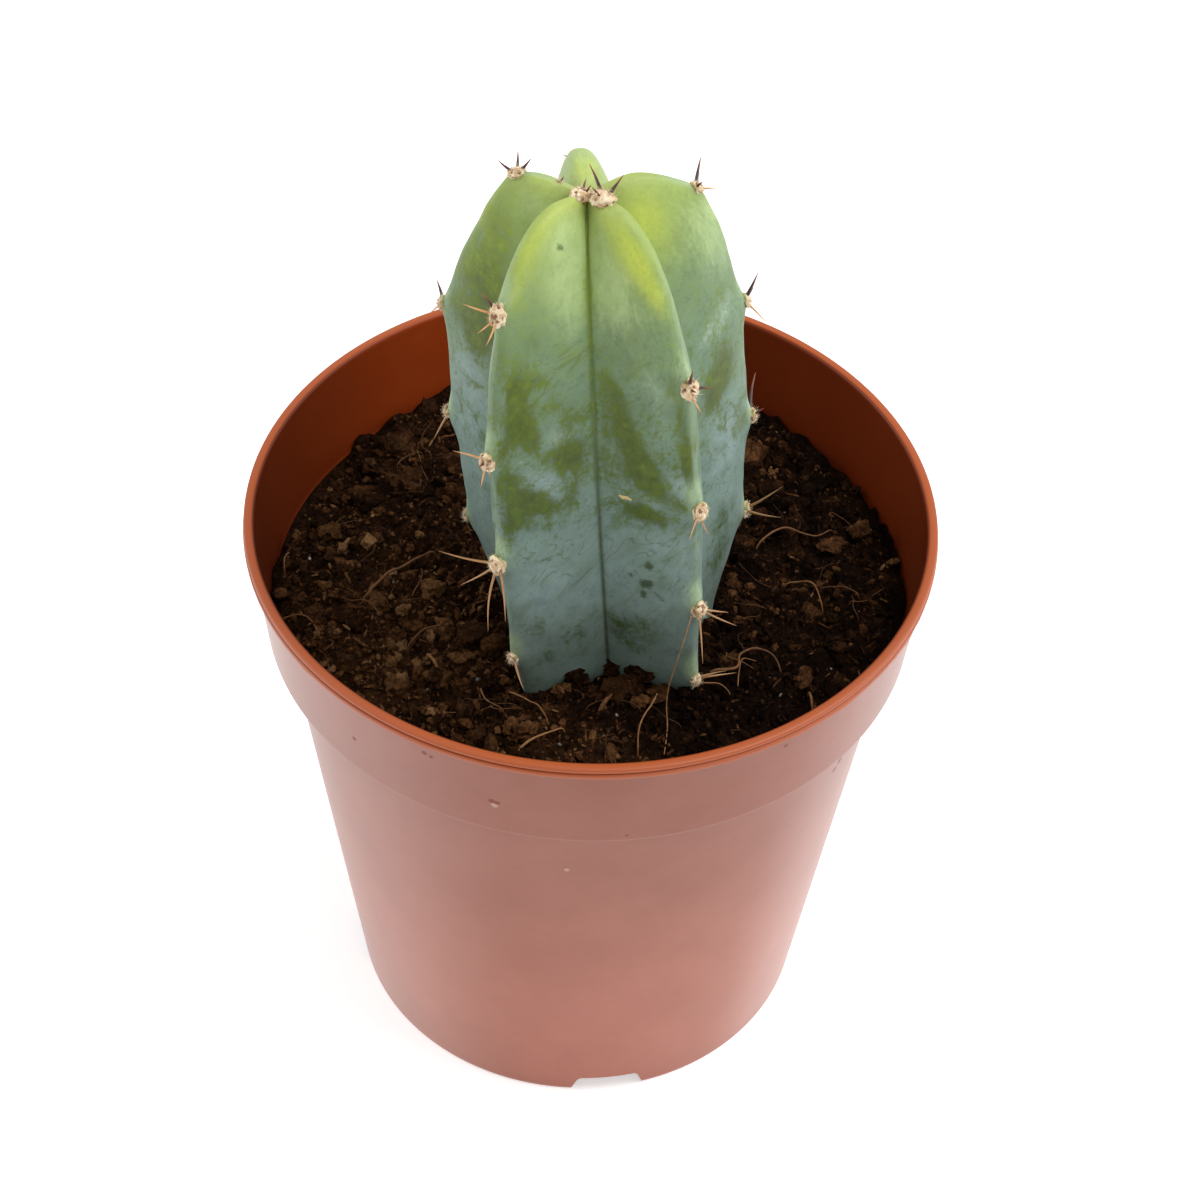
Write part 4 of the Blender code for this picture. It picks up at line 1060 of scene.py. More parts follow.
# Spines
# Each areole carries a few stiff conical spines with swollen feet. Those of the crown are nearly
# black with red-brown points; the older and lower ones have faded to amber.

SPINE_SINK = 0.2 * MM  # how deep a spine's foot lies under the crest
SPINE_ROOT = 0.14 * MM  # how far the foot runs back into the wool
DARK_RADIUS = 0.3 * MM
AMBER_RADIUS = 0.19 * MM
BRISTLE_RADIUS = 0.09 * MM
SPINE_POINT = 0.02 * MM
SPINE_SIDES = 10
SPINE_BOW = 0.02  # share of its length
SPINE_FOOT = 0.35  # how far the foot swells, as a share of the radius
BRISTLES = 2  # short weak spines between the others of an areole
SPINE_SEED = 8

# The spines of each areole, from the growing tip down: length in mm, which way the spine points
# round its areole, clockwise from the growing tip, and how far it stands up, in degrees
SPINES = {
    "front_left": (
        ((2.0, 330, 50), (2.0, 100, 60)),
        ((4.0, 270, 25), (3.0, 320, 25), (3.0, 205, 30), (3.5, 170, 30), (2.0, 50, 65)),
        ((4.0, 280, 25), (3.0, 175, 30), (2.0, 30, 70)),
        ((7.0, 275, 25), (6.0, 225, 25), (8.0, 170, 30), (6.5, 150, 25)),
        ((4.0, 115, 30),),
    ),
    "front_right": (
        ((5.0, 20, 30), (3.5, 90, 30), (2.0, 320, 55), (2.0, 245, 55)),
        ((4.0, 350, 30), (2.5, 100, 30), (3.0, 180, 30), (2.5, 295, 30), (2.0, 320, 70)),
        ((4.0, 250, 30), (3.0, 180, 30)),
        ((3.5, 105, 30), (5.5, 130, 25), (6.5, 200, 30)),
        ((5.0, 85, 25), (4.0, 60, 30)),
    ),
    "back_right": (
        ((3.5, 75, 45), (2.5, 200, 40), (2.0, 310, 40)),
        ((4.0, 0, 30), (3.5, 210, 25), (2.5, 100, 40)),
        ((5.0, 50, 20), (2.0, 330, 35)),
        ((6.5, 335, 30), (5.5, 295, 30), (3.0, 130, 35)),
    ),
    "back": (
        ((1.4, 40, 10), (1.4, 310, 30), (3.0, 230, 30), (3.0, 145, 30)),
        ((3.5, 280, 30), (3.5, 85, 35), (3.0, 5, 35), (3.5, 205, 25), (3.5, 150, 30)),
        ((3.5, 275, 30), (3.5, 95, 30), (4.0, 205, 25), (4.5, 155, 25)),
        ((3.5, 280, 30), (4.0, 75, 30), (3.0, 10, 40)),
    ),
    "back_left": (
        ((0.8, 315, 60),),
        ((2.5, 345, 30), (2.5, 275, 40), (2.5, 195, 40)),
        ((3.0, 295, 30), (2.5, 220, 30), (3.0, 190, 30)),
        ((4.5, 165, 25), (4.0, 215, 25)),
        ((1.2, 310, 40),),
    ),
}


def faded(place, turn):
    """Whether a spine has faded to amber: the lowest have, and those that hang from older wool."""
    return place > 50.0 or (place > 10.0 and 150 <= turn <= 290)


def spine_strand(draw, areole, length, turn, rise, radius, amber):
    """One spine: a bowed cone with a swollen foot. amber runs from 0, dark, to 2, dull amber."""
    centre, out, up, side = areole
    turn = math.radians(turn)
    rise = math.radians(rise)
    lying = up * math.cos(turn) + side * math.sin(turn)
    direction = lying * math.cos(rise) + out * math.sin(rise)
    root = centre - out * SPINE_SINK - direction * SPINE_ROOT
    point = centre + direction * length
    bow = np.cross(direction, draw.normal(size=3))
    f = np.linspace(0.0, 1.0, 15)
    path = root + np.outer(f, point - root) + np.outer(np.sin(np.pi * f), bow * SPINE_BOW * length)
    radii = SPINE_POINT + (radius - SPINE_POINT) * (1.0 - f) ** 0.8
    radii *= 1.0 + SPINE_FOOT * bell(f, 0.08, 0.1)
    points, faces, share = sweep(path, radii, SPINE_SIDES)
    return points, faces, {"tip": share, "amber": amber}


def spine_horn():
    """Dark horn with red-brown points, or amber where the spine has faded."""
    material, shader, tap = new_finish("spine_horn", Roughness=0.35, Specular_IOR_Level=0.5)
    where = tap.place()
    fine = tap.grain(where, 2500.0, 3.0, 0.6)
    tip = tap.mark("tip") + (fine - 0.5) * 0.25
    dark = tip.ramp(
        (0.0, (0.07, 0.022, 0.014)),
        (0.25, (0.022, 0.008, 0.008)),
        (0.6, (0.06, 0.016, 0.01)),
        (1.0, (0.26, 0.075, 0.03)),
    )
    amber = tip.ramp(
        (0.0, (0.19, 0.055, 0.02)),
        (0.25, (0.52, 0.24, 0.08)),
        (0.75, (0.64, 0.34, 0.13)),
        (1.0, (0.4, 0.16, 0.06)),
    )
    dull = tap.mark("amber").rise(1.0, 2.0) * 0.6
    colour = tap.mark("amber").rise(0.0, 1.0).tint(dark, dull.tint(amber, (0.25, 0.14, 0.065)))
    feed(shader, Base_Color=colour.times(0.85 + fine * 0.3), Normal=tap.bump(fine, 0.02 * MM))
    return material


draw = np.random.default_rng(SPINE_SEED)
strands = []
for name, rib in RIBS.items():
    for place, size, spines in zip(rib.areoles, AREOLE_SIZES[name], SPINES[name]):
        areole = areole_frame(name, place)
        for length, turn, rise in spines:
            amber = 0.0 if not faded(place, turn) else 1.0 if place < 45.0 else 2.0
            radius = AMBER_RADIUS if amber > 0.0 else DARK_RADIUS
            radius *= min(1.0, 0.6 + length / 8.0)
            strands.append(spine_strand(draw, areole, length * MM, turn, rise, radius, amber))
        for _ in range(BRISTLES):
            turn = draw.uniform(0.0, 360.0)
            length = draw.uniform(1.0, 1.7) * size * MM
            amber = draw.uniform(0.2, 1.0)
            rise = draw.uniform(15.0, 60.0)
            strands.append(spine_strand(draw, areole, length, turn, rise, BRISTLE_RADIUS, amber))
dress(bundle("spines", strands, 60.0), spine_horn(), "cactus_stem")


# Soil bed
# The plug of damp peat mix that fills the pot to about 10 mm below the lip, with the buried end
# of the stem in it. It slumps towards the wall and is heaped against the front of the stem.

SOIL_RADIUS = 38.6 * MM
SOIL_FLAT_RADIUS = 24.0 * MM
SOIL_WALL_DROP = 2.0 * MM
HEAP_CENTRE = STEM_BASE + np.array((3.0 * MM, -14.0 * MM, 0.0))
SOIL_HEAP = 2.8 * MM
SOIL_HEAP_SPREAD = 12.0 * MM
SOIL_PATCHES = ((0.8 * MM, 9.0 * MM), (0.7 * MM, 4.0 * MM))
# Slumps along the wall: azimuth, depth and half width in degrees
SOIL_SLUMPS = ((-113.0, 3.2 * MM, 17.0), (122.0, 1.4 * MM, 14.0))
BED_RINGS = 120
BED_COLUMNS = 84  # for each rib of the stem
STEM_GAP = 0.35 * MM
BURIED_END = -19.5 * MM
# Relief of the crumbly surface: height and width of each size of lump
BED_LUMPS = ((1.0 * MM, 3.0 * MM), (0.9 * MM, 1.5 * MM), (0.6 * MM, 0.8 * MM))
FIT_GAP = 0.3 * MM
# Where the surface has dried, and one painted shadow: place across and back and reach in mm, and
# how much
DRIED_AND_SHADED = (
    (-21.0, -12.0, 15.0, 0.28), (-3.0, -30.0, 10.0, 0.15), (30.0, -4.0, 10.0, 0.05),
    # The last row is a painted shadow beside the stem, at its front right.
    (15.0, -24.0, 9.0, -0.14),
)
EDGE_LOWEST = STEP_TOP + 0.6 * MM
COLLAR_FLARE = (LIP_RADIUS - LIP_WIDTH - COLLAR_FOOT_RADIUS + WALL) / (POT_HEIGHT - STEP_TOP)


def soil_height(x, y):
    """The mean surface of the soil, without its crumbs."""
    radius = math.hypot(x, y)
    share = max(0.0, (radius - SOIL_FLAT_RADIUS) / (SOIL_RADIUS - SOIL_FLAT_RADIUS))
    height = SOIL_LEVEL - SOIL_WALL_DROP * share**2
    away = math.hypot(x - HEAP_CENTRE[0], y - HEAP_CENTRE[1])
    height += SOIL_HEAP * bell(away, 0.0, SOIL_HEAP_SPREAD)
    for rise, width in SOIL_PATCHES:
        height += rise * noise.noise(Vector((x, y, rise)) / width)
    azimuth = math.degrees(math.atan2(x, -y))
    for centre, depth, spread in SOIL_SLUMPS:
        apart = (azimuth - centre + 180.0) % 360.0 - 180.0
        height -= depth * share * bell(apart, 0.0, spread)
    return height


def bed_height(x, y):
    """The surface of the soil bed with its lumps."""
    height = soil_height(x, y) - 0.5 * MM
    for rise, width in BED_LUMPS:
        ridge = abs(noise.noise(Vector((x, y, 0.3 * width)) / width))
        height += rise * (0.45 - 1.6 * ridge)
    return max(height, EDGE_LOWEST)


def bed_heights(points):
    """The surface of the soil bed at each point."""
    return np.array([bed_height(point[0], point[1]) for point in points])


def socket_ring(heights):
    """A ring of the hole for the stem's end, at its own height over the soil for each column."""
    top = WALK_ROWS[:, 1].argmax()
    distance = np.interp(-heights, -WALK_ROWS[top:, 1], WALKED[top:])
    shares = np.linspace(-1.0, 1.0, BED_COLUMNS, endpoint=False)
    parts = np.split(distance, len(RIBS))
    ring = np.concatenate([skin_points(name, shares, part) for name, part in zip(RIBS, parts)])
    level = STEM_BASE + STEM_LEAN * heights[:, None]
    out = ring - level
    out[:, 2] = 0.0
    reach = np.linalg.norm(out, axis=1, keepdims=True)
    return level + out * (1.0 + STEM_GAP / np.maximum(reach, 0.05 * MM)) * (reach > 0.01 * MM)


def stem_footprint():
    """The hole's edge in the soil's surface, found by letting its height settle on the surface."""
    heights = np.zeros(BED_COLUMNS * len(RIBS))
    for _ in range(4):
        ring = socket_ring(heights)
        heights = bed_heights(ring) - SOIL_LEVEL
    return socket_ring(heights), heights


FOOTPRINT, FOOTPRINT_HEIGHTS = stem_footprint()


def outside_stem(x, y, margin):
    """Whether a place on the soil is clear of the stem by a margin."""
    foot = FOOTPRINT - STEM_BASE
    angles = np.arctan2(foot[:, 0], foot[:, 1])
    order = np.argsort(angles)
    reaches = np.hypot(foot[:, 0], foot[:, 1])[order]
    x, y = x - STEM_BASE[0], y - STEM_BASE[1]
    reach = np.interp(math.atan2(x, y), angles[order], reaches, period=2 * np.pi)
    return math.hypot(x, y) > reach + margin


def make_soil_bed():
    """Rings from the stem's end up its hole, over the surface to the wall and down to the floor."""
    columns = BED_COLUMNS * len(RIBS)
    rings = []
    for share in np.linspace(0.0, 1.0, 14) ** 0.6:
        rings.append(socket_ring(BURIED_END + (FOOTPRINT_HEIGHTS - BURIED_END) * share))
    rings[0][:] = STEM_BASE + STEM_LEAN * (BURIED_END - STEM_GAP)
    inner = rings[-1]
    out = inner[:, :2] - STEM_BASE[:2]
    out /= np.linalg.norm(out, axis=1, keepdims=True)
    rim = COLLAR_FOOT_RADIUS - WALL - 0.1 * MM
    along = out @ STEM_BASE[:2]
    reach = -along + np.sqrt(along**2 - STEM_BASE[:2] @ STEM_BASE[:2] + rim**2)
    outer = STEM_BASE[:2] + out * reach[:, None]
    for share in np.linspace(0.0, 1.0, BED_RINGS)[1:]:
        spots = inner[:, :2] + (outer - inner[:, :2]) * share
        rings.append(np.column_stack([spots, bed_heights(spots)]))
    edge = rings[-1]
    wall = COLLAR_FOOT_RADIUS - WALL - 0.25 * MM + COLLAR_FLARE * (edge[:, 2] - STEP_TOP)
    edge[:, :2] *= (wall / np.linalg.norm(edge[:, :2], axis=1))[:, None]
    turn = edge[:, :2] / np.linalg.norm(edge[:, :2], axis=1, keepdims=True)
    inside = FOOT_RADIUS - WALL - FIT_GAP
    for radius, height in (
        (COLLAR_FOOT_RADIUS - WALL - FIT_GAP, STEP_TOP + 0.35 * MM),
        (inside + BODY_FLARE * STEP_TOP, STEP_TOP - 0.2 * MM),
        (inside + BODY_FLARE * 6.0 * MM, 6.0 * MM),
        (inside - 0.5 * MM, FLOOR_TOP + FIT_GAP),
        (0.0, FLOOR_TOP + FIT_GAP),
    ):
        rings.append(np.column_stack([turn * radius, np.full(columns, height)]))
    faces = grid_faces(len(rings), columns)
    return make_piece("soil_bed", np.concatenate(rings), faces, sharp=180.0)


def damp_peat():
    """Dark damp peat: each crumb has its own tone, and the drier ones are paler and redder."""
    material, shader, tap = new_finish("damp_peat", Specular_IOR_Level=0.04)
    where = tap.place()
    fine = tap.grain(where, 2200.0, 5.0, 0.75)
    broad = tap.grain(where, 480.0, 3.0, 0.6)
    shade = tap.mark("tone") + (fine - 0.5) * 1.1 + (broad - 0.5) * 0.6
    colour = shade.ramp(
        (0.0, (0.003, 0.0011, 0.0004)),
        (0.28, (0.0125, 0.0048, 0.0017)),
        (0.52, (0.048, 0.0192, 0.007)),
        (0.78, (0.145, 0.062, 0.0225)),
        (1.0, (0.26, 0.14, 0.06)),
    )
    feed(shader, Base_Color=colour, Roughness=0.9 - broad * 0.25, Normal=tap.bump(fine, 0.6 * MM))
    return material


def dryness_and_shade(x, y):
    """How pale the surface is: the left and the front have dried most, it is darker towards the
    right, and a painted shadow lies at the front right of the stem.
    """
    dry = 0.36 - 0.08 * math.tanh(x / (14.0 * MM))
    dry += 0.15 * noise.noise(Vector((x, y, 0.0)) / (7.0 * MM))
    for across, back, reach, amount in DRIED_AND_SHADED:
        dry += amount * bell(math.hypot(x - across * MM, y - back * MM), 0.0, reach * MM)
    return dry


PEAT = damp_peat()
soil_bed = make_soil_bed()
bed_tones = [0.7 * dryness_and_shade(vert.co.x, vert.co.y) - 0.02 for vert in soil_bed.data.vertices]
soil_bed.data.attributes.new("tone", "FLOAT", "POINT").data.foreach_set("value", bed_tones)
dress(soil_bed, PEAT, "potting_soil")


# Crumbs, bark and grit
# What lies loose on the soil: thousands of peat crumbs, brown bark and tan root bits, and grains
# of wet grit that glint. The larger ones lie where the heap and the edges have them.

CRUMB_SEED = 21
SLIVER_COUNT = 900
GRIT_COUNT = 22
GRIT_RADIUS = 0.22 * MM

# Clods and chips that stand out: place across and back in mm, half width, half length and half
# thickness in mm, turn in degrees, and tone from black (0) to cream (1)
CLODS = (
    (-1.4, -21.1, 1.7, 1.4, 1.3, 20, 0.42), (3.5, -24.1, 1.9, 1.5, 1.4, 60, 0.48),
    (6.4, -21.3, 1.6, 1.3, 1.2, 0, 0.4), (4.0, -19.2, 1.8, 1.3, 1.5, 35, 0.44),
    (-0.3, -18.4, 1.5, 1.3, 1.4, 80, 0.46), (1.4, -18.0, 1.6, 1.2, 1.5, 10, 0.4),
    (8.4, -24.2, 1.4, 1.1, 1.0, 40, 0.55), (6.5, -25.4, 1.1, 0.8, 0.7, 15, 0.78),
    (-8.7, -27.7, 1.2, 0.8, 0.7, 70, 0.8), (-11.1, -14.7, 1.6, 1.4, 1.1, 30, 0.66),
    (-15.0, -16.9, 1.3, 0.7, 0.5, 5, 0.84), (17.1, -16.4, 1.5, 1.2, 0.9, 50, 0.6),
    (30.5, 5.1, 1.5, 1.1, 0.9, 15, 0.62), (-38.1, -5.5, 0.9, 0.8, 0.6, 0, 0.74),
    (-25.4, 21.9, 2.4, 1.7, 1.5, 25, 0.52), (-29.4, 14.0, 1.6, 1.3, 1.0, 45, 0.6),
    (-22.6, -9.2, 1.0, 0.7, 0.5, 60, 0.98), (38.2, 4.9, 0.8, 0.5, 0.4, 20, 0.95),
    (-33.0, 5.9, 1.5, 1.2, 1.0, 0, 0.62), (33.9, 8.5, 1.4, 1.1, 0.9, 30, 0.62),
    (26.1, -18.0, 1.4, 1.0, 0.8, 75, 0.6), (-27.4, 3.0, 1.4, 1.1, 0.8, 10, 0.58),
    (27.3, -7.0, 1.2, 1.0, 0.8, 40, 0.55),
)
# Grains that glint, across and back in mm
GLINTS = (
    (-13.0, -20.1), (-33.3, -9.9), (-14.3, -26.2), (22.2, -18.2), (23.4, -20.4),
    (29.7, -15.2), (2.4, -29.7), (-12.6, -27.4), (-14.4, -26.7),
)


def rock_forms(draw, count, subdivisions):
    """A few lumpy forms of unit size, which the crumbs share."""
    forms = []
    for _ in range(count):
        shape = bmesh.new()
        bmesh.ops.create_icosphere(shape, subdivisions=subdivisions, radius=1.0)
        offset = Vector(draw.uniform(-50.0, 50.0, 3))
        for vert in shape.verts:
            broad = noise.noise(vert.co * 1.2 + offset)
            narrow = noise.fractal(vert.co * 2.6 + offset, 0.8, 2.2, 3)
            vert.co *= 1.0 + 0.6 * broad + 0.5 * narrow
        points = np.array([vert.co[:] for vert in shape.verts])
        faces = np.array([[vert.index for vert in face.verts] for face in shape.faces])
        shape.free()
        forms.append((points, faces))
    return forms


def turns(draw, count):
    """Random rotations, one matrix each."""
    q = draw.normal(size=(count, 4))
    q /= np.linalg.norm(q, axis=1, keepdims=True)
    w, x, y, z = q.T
    rows = [
        [1 - 2 * (y * y + z * z), 2 * (x * y - z * w), 2 * (x * z + y * w)],
        [2 * (x * y + z * w), 1 - 2 * (x * x + z * z), 2 * (y * z - x * w)],
        [2 * (x * z - y * w), 2 * (y * z + x * w), 1 - 2 * (x * x + y * y)],
    ]
    return np.array(rows).transpose(2, 0, 1)


def crumb_parts(forms, spots, sizes, rotations, tones):
    """The parts of many crumbs: each a form with its three sizes, turned and put down."""
    parts = []
    for index, spot in enumerate(spots):
        form, faces = forms[index % len(forms)]
        placed = (form * sizes[index]) @ rotations[index].T
        parts.append((placed + spot, faces.tolist(), {"tone": tones[index]}))
    return parts


def open_spots(draw, count, margin, sink):
    """Places on the soil, clear of the stem and of the wall, a little sunk in."""
    spots = []
    while len(spots) < count:
        x, y = draw.uniform(-SOIL_RADIUS, SOIL_RADIUS, 2)
        if math.hypot(x, y) < SOIL_RADIUS - margin and outside_stem(x, y, 0.6 * margin):
            spots.append((x, y, bed_height(x, y) - sink))
    return np.array(spots)


def crumb_tones(draw, spots):
    """A tone for each crumb: near that of the soil there, and now and then much paler."""
    dry = np.array([dryness_and_shade(x, y) for x, y, _ in spots])
    return dry + 0.85 * draw.beta(0.9, 4.0, len(spots)) - 0.1


draw = np.random.default_rng(CRUMB_SEED)
grain_forms = rock_forms(draw, 8, 1)
small_forms = rock_forms(draw, 12, 2)
large_forms = rock_forms(draw, 14, 3)

# Each kind of crumb: its forms and number, in mm how clear it stays of the wall, how deep it sinks
# and its half size, the spread of its sizes, the least and the most share of a side, what is added
# to its tone and the angle from which its edges are sharp
for name, forms, count, margin, sink, size, spread, least, most, tone, sharp in (
    ("peat_crumbs", small_forms, 1500, 0.5, -0.05, 0.4, 0.4, 0.5, 1.6, 0.0, 40.0),
    ("peat_grains", grain_forms, 7000, 0.4, -0.08, 0.19, 0.3, 0.6, 1.5, -0.03, 40.0),
    ("peat_clumps", large_forms, 380, 1.2, 0.05, 0.72, 0.32, 0.55, 1.45, -0.12, 50.0),
):
    spots = open_spots(draw, count, margin * MM, sink * MM)
    spreads = draw.lognormal(0.0, spread, count)[:, None]
    sizes = size * MM * spreads * draw.uniform(least, most, (count, 3))
    parts = crumb_parts(forms, spots, sizes, turns(draw, count), crumb_tones(draw, spots) + tone)
    dress(bundle(name, parts, sharp), PEAT, "potting_soil")

# Slivers of bark and husk lie about flat.
count = SLIVER_COUNT
spots = open_spots(draw, count, 0.9 * MM, -0.25 * MM)
widths = draw.uniform(0.1, 0.22, count)
lengths = draw.lognormal(math.log(0.55), 0.4, count)
sizes = MM * np.column_stack([widths, lengths, draw.uniform(0.05, 0.11, count)])
tilts = draw.normal(0.0, 0.35, (count, 2))
rolls = []
for turn, (pitch, roll) in zip(draw.uniform(0.0, 360.0, count), tilts):
    spin = Matrix.Rotation(math.radians(turn), 3, "Z") @ Matrix.Rotation(pitch, 3, "X")
    rolls.append(np.array(spin @ Matrix.Rotation(roll, 3, "Y")))
tones = crumb_tones(draw, spots) + draw.uniform(0.0, 0.22, count)
parts = crumb_parts(grain_forms, spots, sizes, np.array(rolls), tones)
dress(bundle("bark_slivers", parts, 40.0), PEAT, "potting_soil")

clods = []
for index, (x, y, width, length, thickness, turn, tone) in enumerate(CLODS):
    form, faces = large_forms[index % len(large_forms)]
    cos, sin = math.cos(math.radians(turn)), math.sin(math.radians(turn))
    flat = np.array(((cos, -sin, 0.0), (sin, cos, 0.0), (0.0, 0.0, 1.0)))
    spot = np.array((x * MM, y * MM, bed_height(x * MM, y * MM) + 0.45 * thickness * MM))
    placed = (form * (width * MM, length * MM, thickness * MM)) @ flat.T + spot
    clods.append((placed, faces.tolist(), {"tone": 0.9 * tone}))
dress(bundle("bark_clods", clods, 60.0), PEAT, "potting_soil")


def wet_grit():
    """Wet glassy sand grains."""
    material, shader, tap = new_finish("wet_grit", Roughness=0.12, Specular_IOR_Level=0.6)
    grain = tap.grain(tap.place(), 900.0, 2.0, 0.5)
    feed(shader, Base_Color=grain.tint((0.08, 0.06, 0.04), (0.3, 0.27, 0.24)))
    return material


spots = np.concatenate([
    [(x * MM, y * MM, bed_height(x * MM, y * MM) + 0.15 * MM) for x, y in GLINTS],
    open_spots(draw, GRIT_COUNT, 1.0 * MM, -0.1 * MM),
])
count = len(spots)
sizes = GRIT_RADIUS * draw.uniform(0.5, 1.3, (count, 3))
parts = crumb_parts(small_forms, spots, sizes, turns(draw, count), np.zeros(count))
dress(bundle("grit", parts, 30.0), wet_grit(), "potting_soil")


# Coir fibres and roots
# Strands of coir and fine dry roots lie over and through the top of the mix. One long hair hangs
# from an areole of the front right rib down to the soil.

FIBRE_SEED = 33
FIBRE_COUNT = 60
FIBRE_SIDES = 6
HAIR_STEPS = 40
HAIR_RADIUS = 0.07 * MM

# Strands that stand out: radius in mm, tone, how high the middle arches in mm, then places
# across and back in mm
STRANDS = (
    (0.22, 0.6, 1.6, ((-27.5, -7.1), (-24.9, -4.1), (-21.6, -1.2), (-18.9, 1.3))),
    (0.26, 0.72, 0.8, ((-19.2, -16.6), (-18.4, -18.5), (-17.6, -20.0))),
    (0.12, 0.74, 0.9, ((-9.6, -21.9), (-6.9, -24.9), (-5.4, -26.4), (-4.0, -28.3))),
    (0.17, 0.82, 0.7, ((-7.9, -31.3), (-5.1, -30.2), (-2.1, -28.7))),
    (0.14, 0.75, 0.6, ((9.4, -22.0), (7.9, -26.1), (6.5, -29.4), (6.4, -31.9))),
    (0.2, 0.55, 1.3, (
        (13.2, -19.2), (17.8, -18.7), (18.5, -16.0), (20.2, -14.8), (22.3, -15.2), (23.7, -17.4)
    )),
    (0.22, 0.6, 0.8, ((26.8, -19.9), (27.0, -21.4), (27.2, -23.0))),
    (0.12, 0.72, 0.9, ((-38.0, -9.4), (-35.6, -9.6), (-33.7, -10.9), (-32.7, -12.6))),
    (0.12, 0.62, 0.7, ((-37.7, 3.2), (-38.1, 0.6), (-37.8, -1.9))),
    (0.3, 0.5, 0.8, ((1.6, -27.2), (4.2, -23.9), (7.2, -21.3))),
    (0.1, 0.75, 0.8, ((12.0, -21.0), (14.0, -21.8), (16.2, -21.4), (17.5, -22.6))),
    (0.11, 0.7, 0.6, ((-12.6, -21.4), (-11.8, -24.0), (-9.4, -25.4))),
    (0.16, 0.6, 1.0, ((-16.0, -11.0), (-19.5, -12.4), (-22.0, -15.2))),
    (0.13, 0.66, 1.0, ((24.0, -2.0), (27.5, -3.4), (29.0, -6.8))),
    (0.15, 0.58, 1.2, ((20.5, 4.0), (24.0, 6.5), (28.0, 6.0), (31.0, 8.4))),
)
# The hanging hair's places in mm: across, back and up
HAIR = (
    (11.9, -24.8, 86.0), (11.3, -25.7, 83.4), (10.5, -26.2, 79.6), (9.8, -26.4, 76.0),
    (9.6, -26.8, 73.0), (9.8, -28.4, 70.6), (9.5, -31.4, 69.3),
)


def lying_strand(places, radius, tone, arch):
    """A strand that lies on the soil, arched in the middle, with both ends in the soil."""
    steps = 8 + 5 * len(places)
    flat = smooth_path(places, steps)
    f = np.linspace(0.0, 1.0, steps)
    sway = np.array([noise.noise(Vector((spot[0], spot[1], tone)) / (1.8 * MM)) for spot in flat])
    heights = np.array([soil_height(x, y) for x, y in flat]) + 0.25 * MM
    buried = bell(f, 0.0, 0.07) + bell(f, 1.0, 0.07)
    heights += arch * np.sin(np.pi * f) + 0.25 * MM * sway - 1.4 * MM * buried
    path = np.column_stack([flat, heights])
    radii = radius * (1.0 + 0.25 * sway) * (1.0 - 0.45 * f)
    points, faces, share = sweep(path, radii, FIBRE_SIDES)
    return points, faces, {"tone": tone, "along": share}


def random_strand(draw):
    """A fine fibre that wanders over the soil."""
    while True:
        x, y = draw.uniform(-SOIL_RADIUS, SOIL_RADIUS, 2)
        course = draw.uniform(0.0, 2.0 * math.pi)
        length = draw.uniform(2.5, 9.0) * MM
        places = [(x, y)]
        for _ in range(3):
            course += draw.normal() * 0.45
            x += math.cos(course) * length / 3
            y += math.sin(course) * length / 3
            places.append((x, y))
        if all(math.hypot(*place) < SOIL_RADIUS - 1.0 * MM and outside_stem(*place, 0.8 * MM)
               for place in places):
            radius = draw.lognormal(math.log(0.055 * MM), 0.4)
            tone = draw.uniform(0.25, 0.75)
            return lying_strand(places, radius, tone, draw.uniform(0.1, 0.9) * MM)


def dry_fibre():
    """Coir and dry root: red-brown to straw, darker towards one end."""
    material, shader, tap = new_finish("dry_fibre", Roughness=0.7, Specular_IOR_Level=0.2)
    fine = tap.grain(tap.place(), 2600.0, 3.0, 0.6)
    shade = tap.mark("tone") + (fine - 0.5) * 0.5 - tap.mark("along") * 0.12
    colour = shade.ramp(
        (0.0, (0.02, 0.008, 0.003)),
        (0.4, (0.075, 0.03, 0.011)),
        (0.7, (0.22, 0.1, 0.036)),
        (1.0, (0.48, 0.29, 0.12)),
    )
    feed(shader, Base_Color=colour, Normal=tap.bump(fine, 0.05 * MM))
    return material


draw = np.random.default_rng(FIBRE_SEED)
strands = []
for radius, tone, arch, places in STRANDS:
    places = [(x * MM, y * MM) for x, y in places]
    strands.append(lying_strand(places, radius * MM, tone, arch * MM))
strands.extend(random_strand(draw) for _ in range(FIBRE_COUNT))
fibre = dry_fibre()
dress(bundle("coir_fibres", strands), fibre, "potting_soil")

path = smooth_path(np.array(HAIR) * MM, HAIR_STEPS)
hair_points, hair_faces, along = sweep(path, np.full(HAIR_STEPS, HAIR_RADIUS), FIBRE_SIDES)
hair = bundle("hanging_hair", [(hair_points, hair_faces, {"tone": 0.86, "along": along})])
dress(hair, fibre, "cactus_stem")


# Camera and light
# A still photograph's view from above the front edge, in a bright white tent.

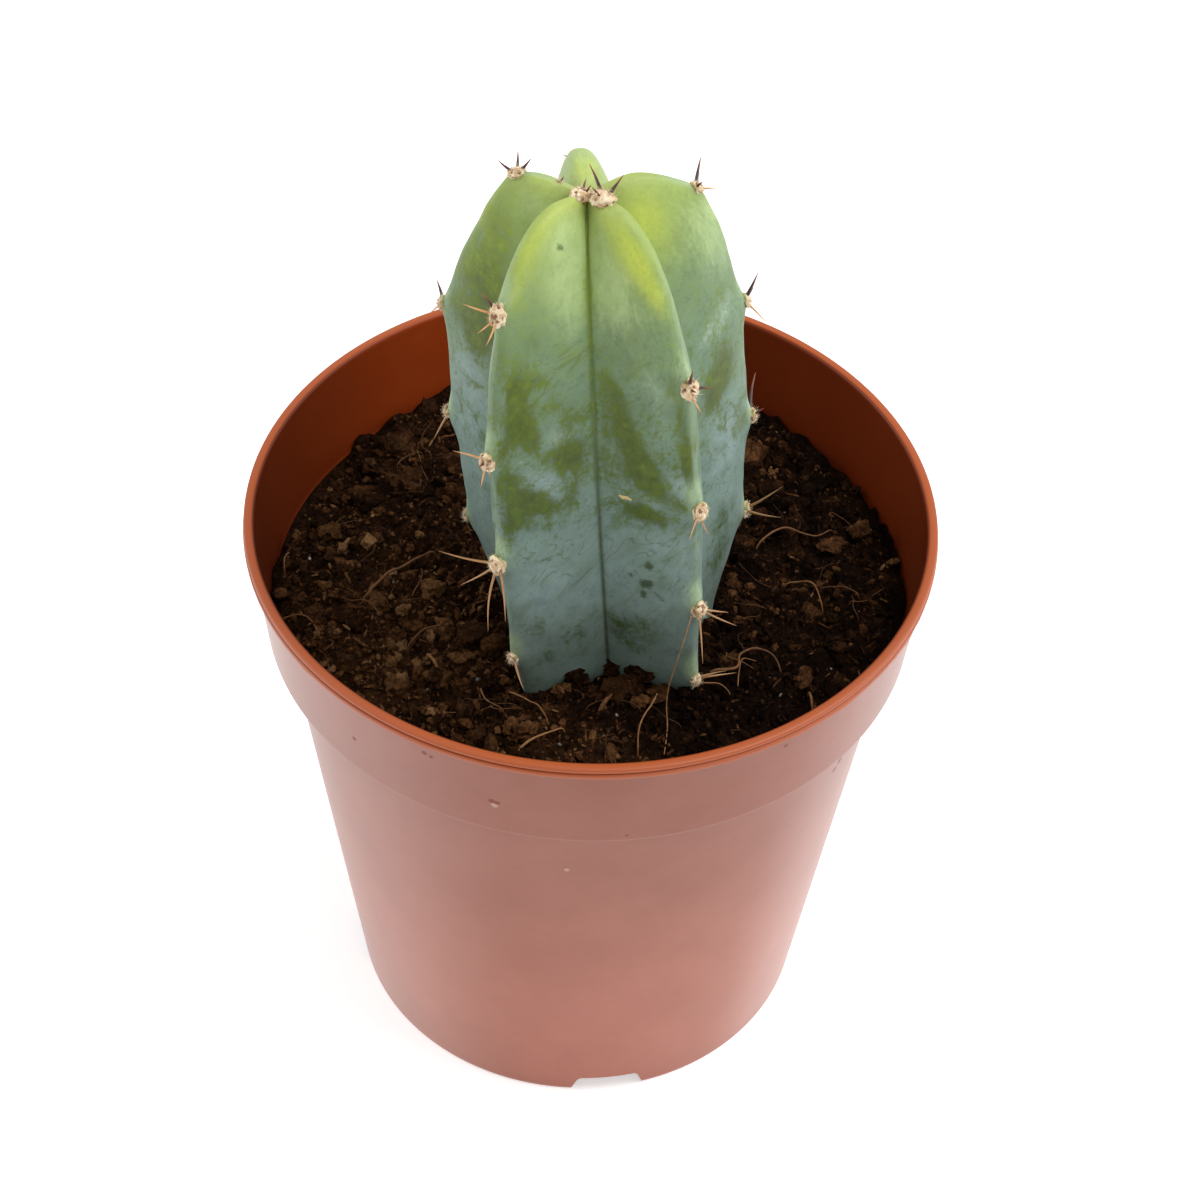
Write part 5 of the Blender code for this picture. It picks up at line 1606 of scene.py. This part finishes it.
EYE = Vector((0.0, -280.48 * MM, 348.53 * MM))
VIEW_RIGHT = Vector((0.9994, 0.0218, 0.0265)).normalized()
VIEW_UP = Vector((-0.0341, 0.7132, 0.7001)).normalized()
SENSOR = 36.0  # mm
FOCAL_LENGTH = 95.5  # mm
TENT_GLOW = 0.66
FLOOR_REACH = 1.5
SUBJECT = (0.0, 0.0, 0.08)  # where the lamps point

lens = bpy.data.cameras.new("view")
lens.sensor_width = SENSOR
lens.lens = FOCAL_LENGTH
lens.clip_start = 0.02
camera = bpy.data.objects.new("view", lens)
bpy.context.scene.collection.objects.link(camera)
back = VIEW_RIGHT.cross(VIEW_UP)
up = back.cross(VIEW_RIGHT)
axes = Matrix((VIEW_RIGHT, up, back)).transposed()
camera.matrix_world = Matrix.Translation(EYE) @ axes.to_4x4()
bpy.context.scene.camera = camera

world = bpy.data.worlds.new("white_tent")
world.use_nodes = True
glow = world.node_tree.nodes["Background"].inputs
glow["Color"].default_value = (1.0, 1.0, 1.0, 1.0)
glow["Strength"].default_value = TENT_GLOW
bpy.context.scene.world = world
bpy.context.scene.view_settings.view_transform = "Standard"


def soft_light(name, spot, size, power):
    """A round lamp that points at the plant."""
    lamp = bpy.data.lights.new(name, "AREA")
    lamp.shape = "DISK"
    lamp.size = size
    lamp.energy = power
    light = bpy.data.objects.new(name, lamp)
    light.location = spot
    light.rotation_euler = (Vector(SUBJECT) - Vector(spot)).to_track_quat("-Z", "Y").to_euler()
    bpy.context.scene.collection.objects.link(light)


soft_light("key_light", (0.36, -0.05, 0.8), 0.6, 5.0)
soft_light("left_panel", (-0.62, 0.12, 0.34), 0.5, 1.7)
soft_light("right_panel", (0.62, 0.16, 0.34), 0.5, 1.3)

corners = [(x * FLOOR_REACH, y * FLOOR_REACH, 0.0) for x, y in ((-1, -1), (1, -1), (1, 1), (-1, 1))]
floor = make_piece("floor", corners, [(0, 1, 2, 3)])
# The floor glows as well as being white: a light table that lights the pot from below.
floor_glow, _, _ = new_finish(
    "glowing_white_floor", Base_Color=(0.8, 0.8, 0.8, 1.0), Roughness=0.8,
    Emission_Color=(1.0, 1.0, 1.0, 1.0), Emission_Strength=0.5,
)
floor.data.materials.append(floor_glow)
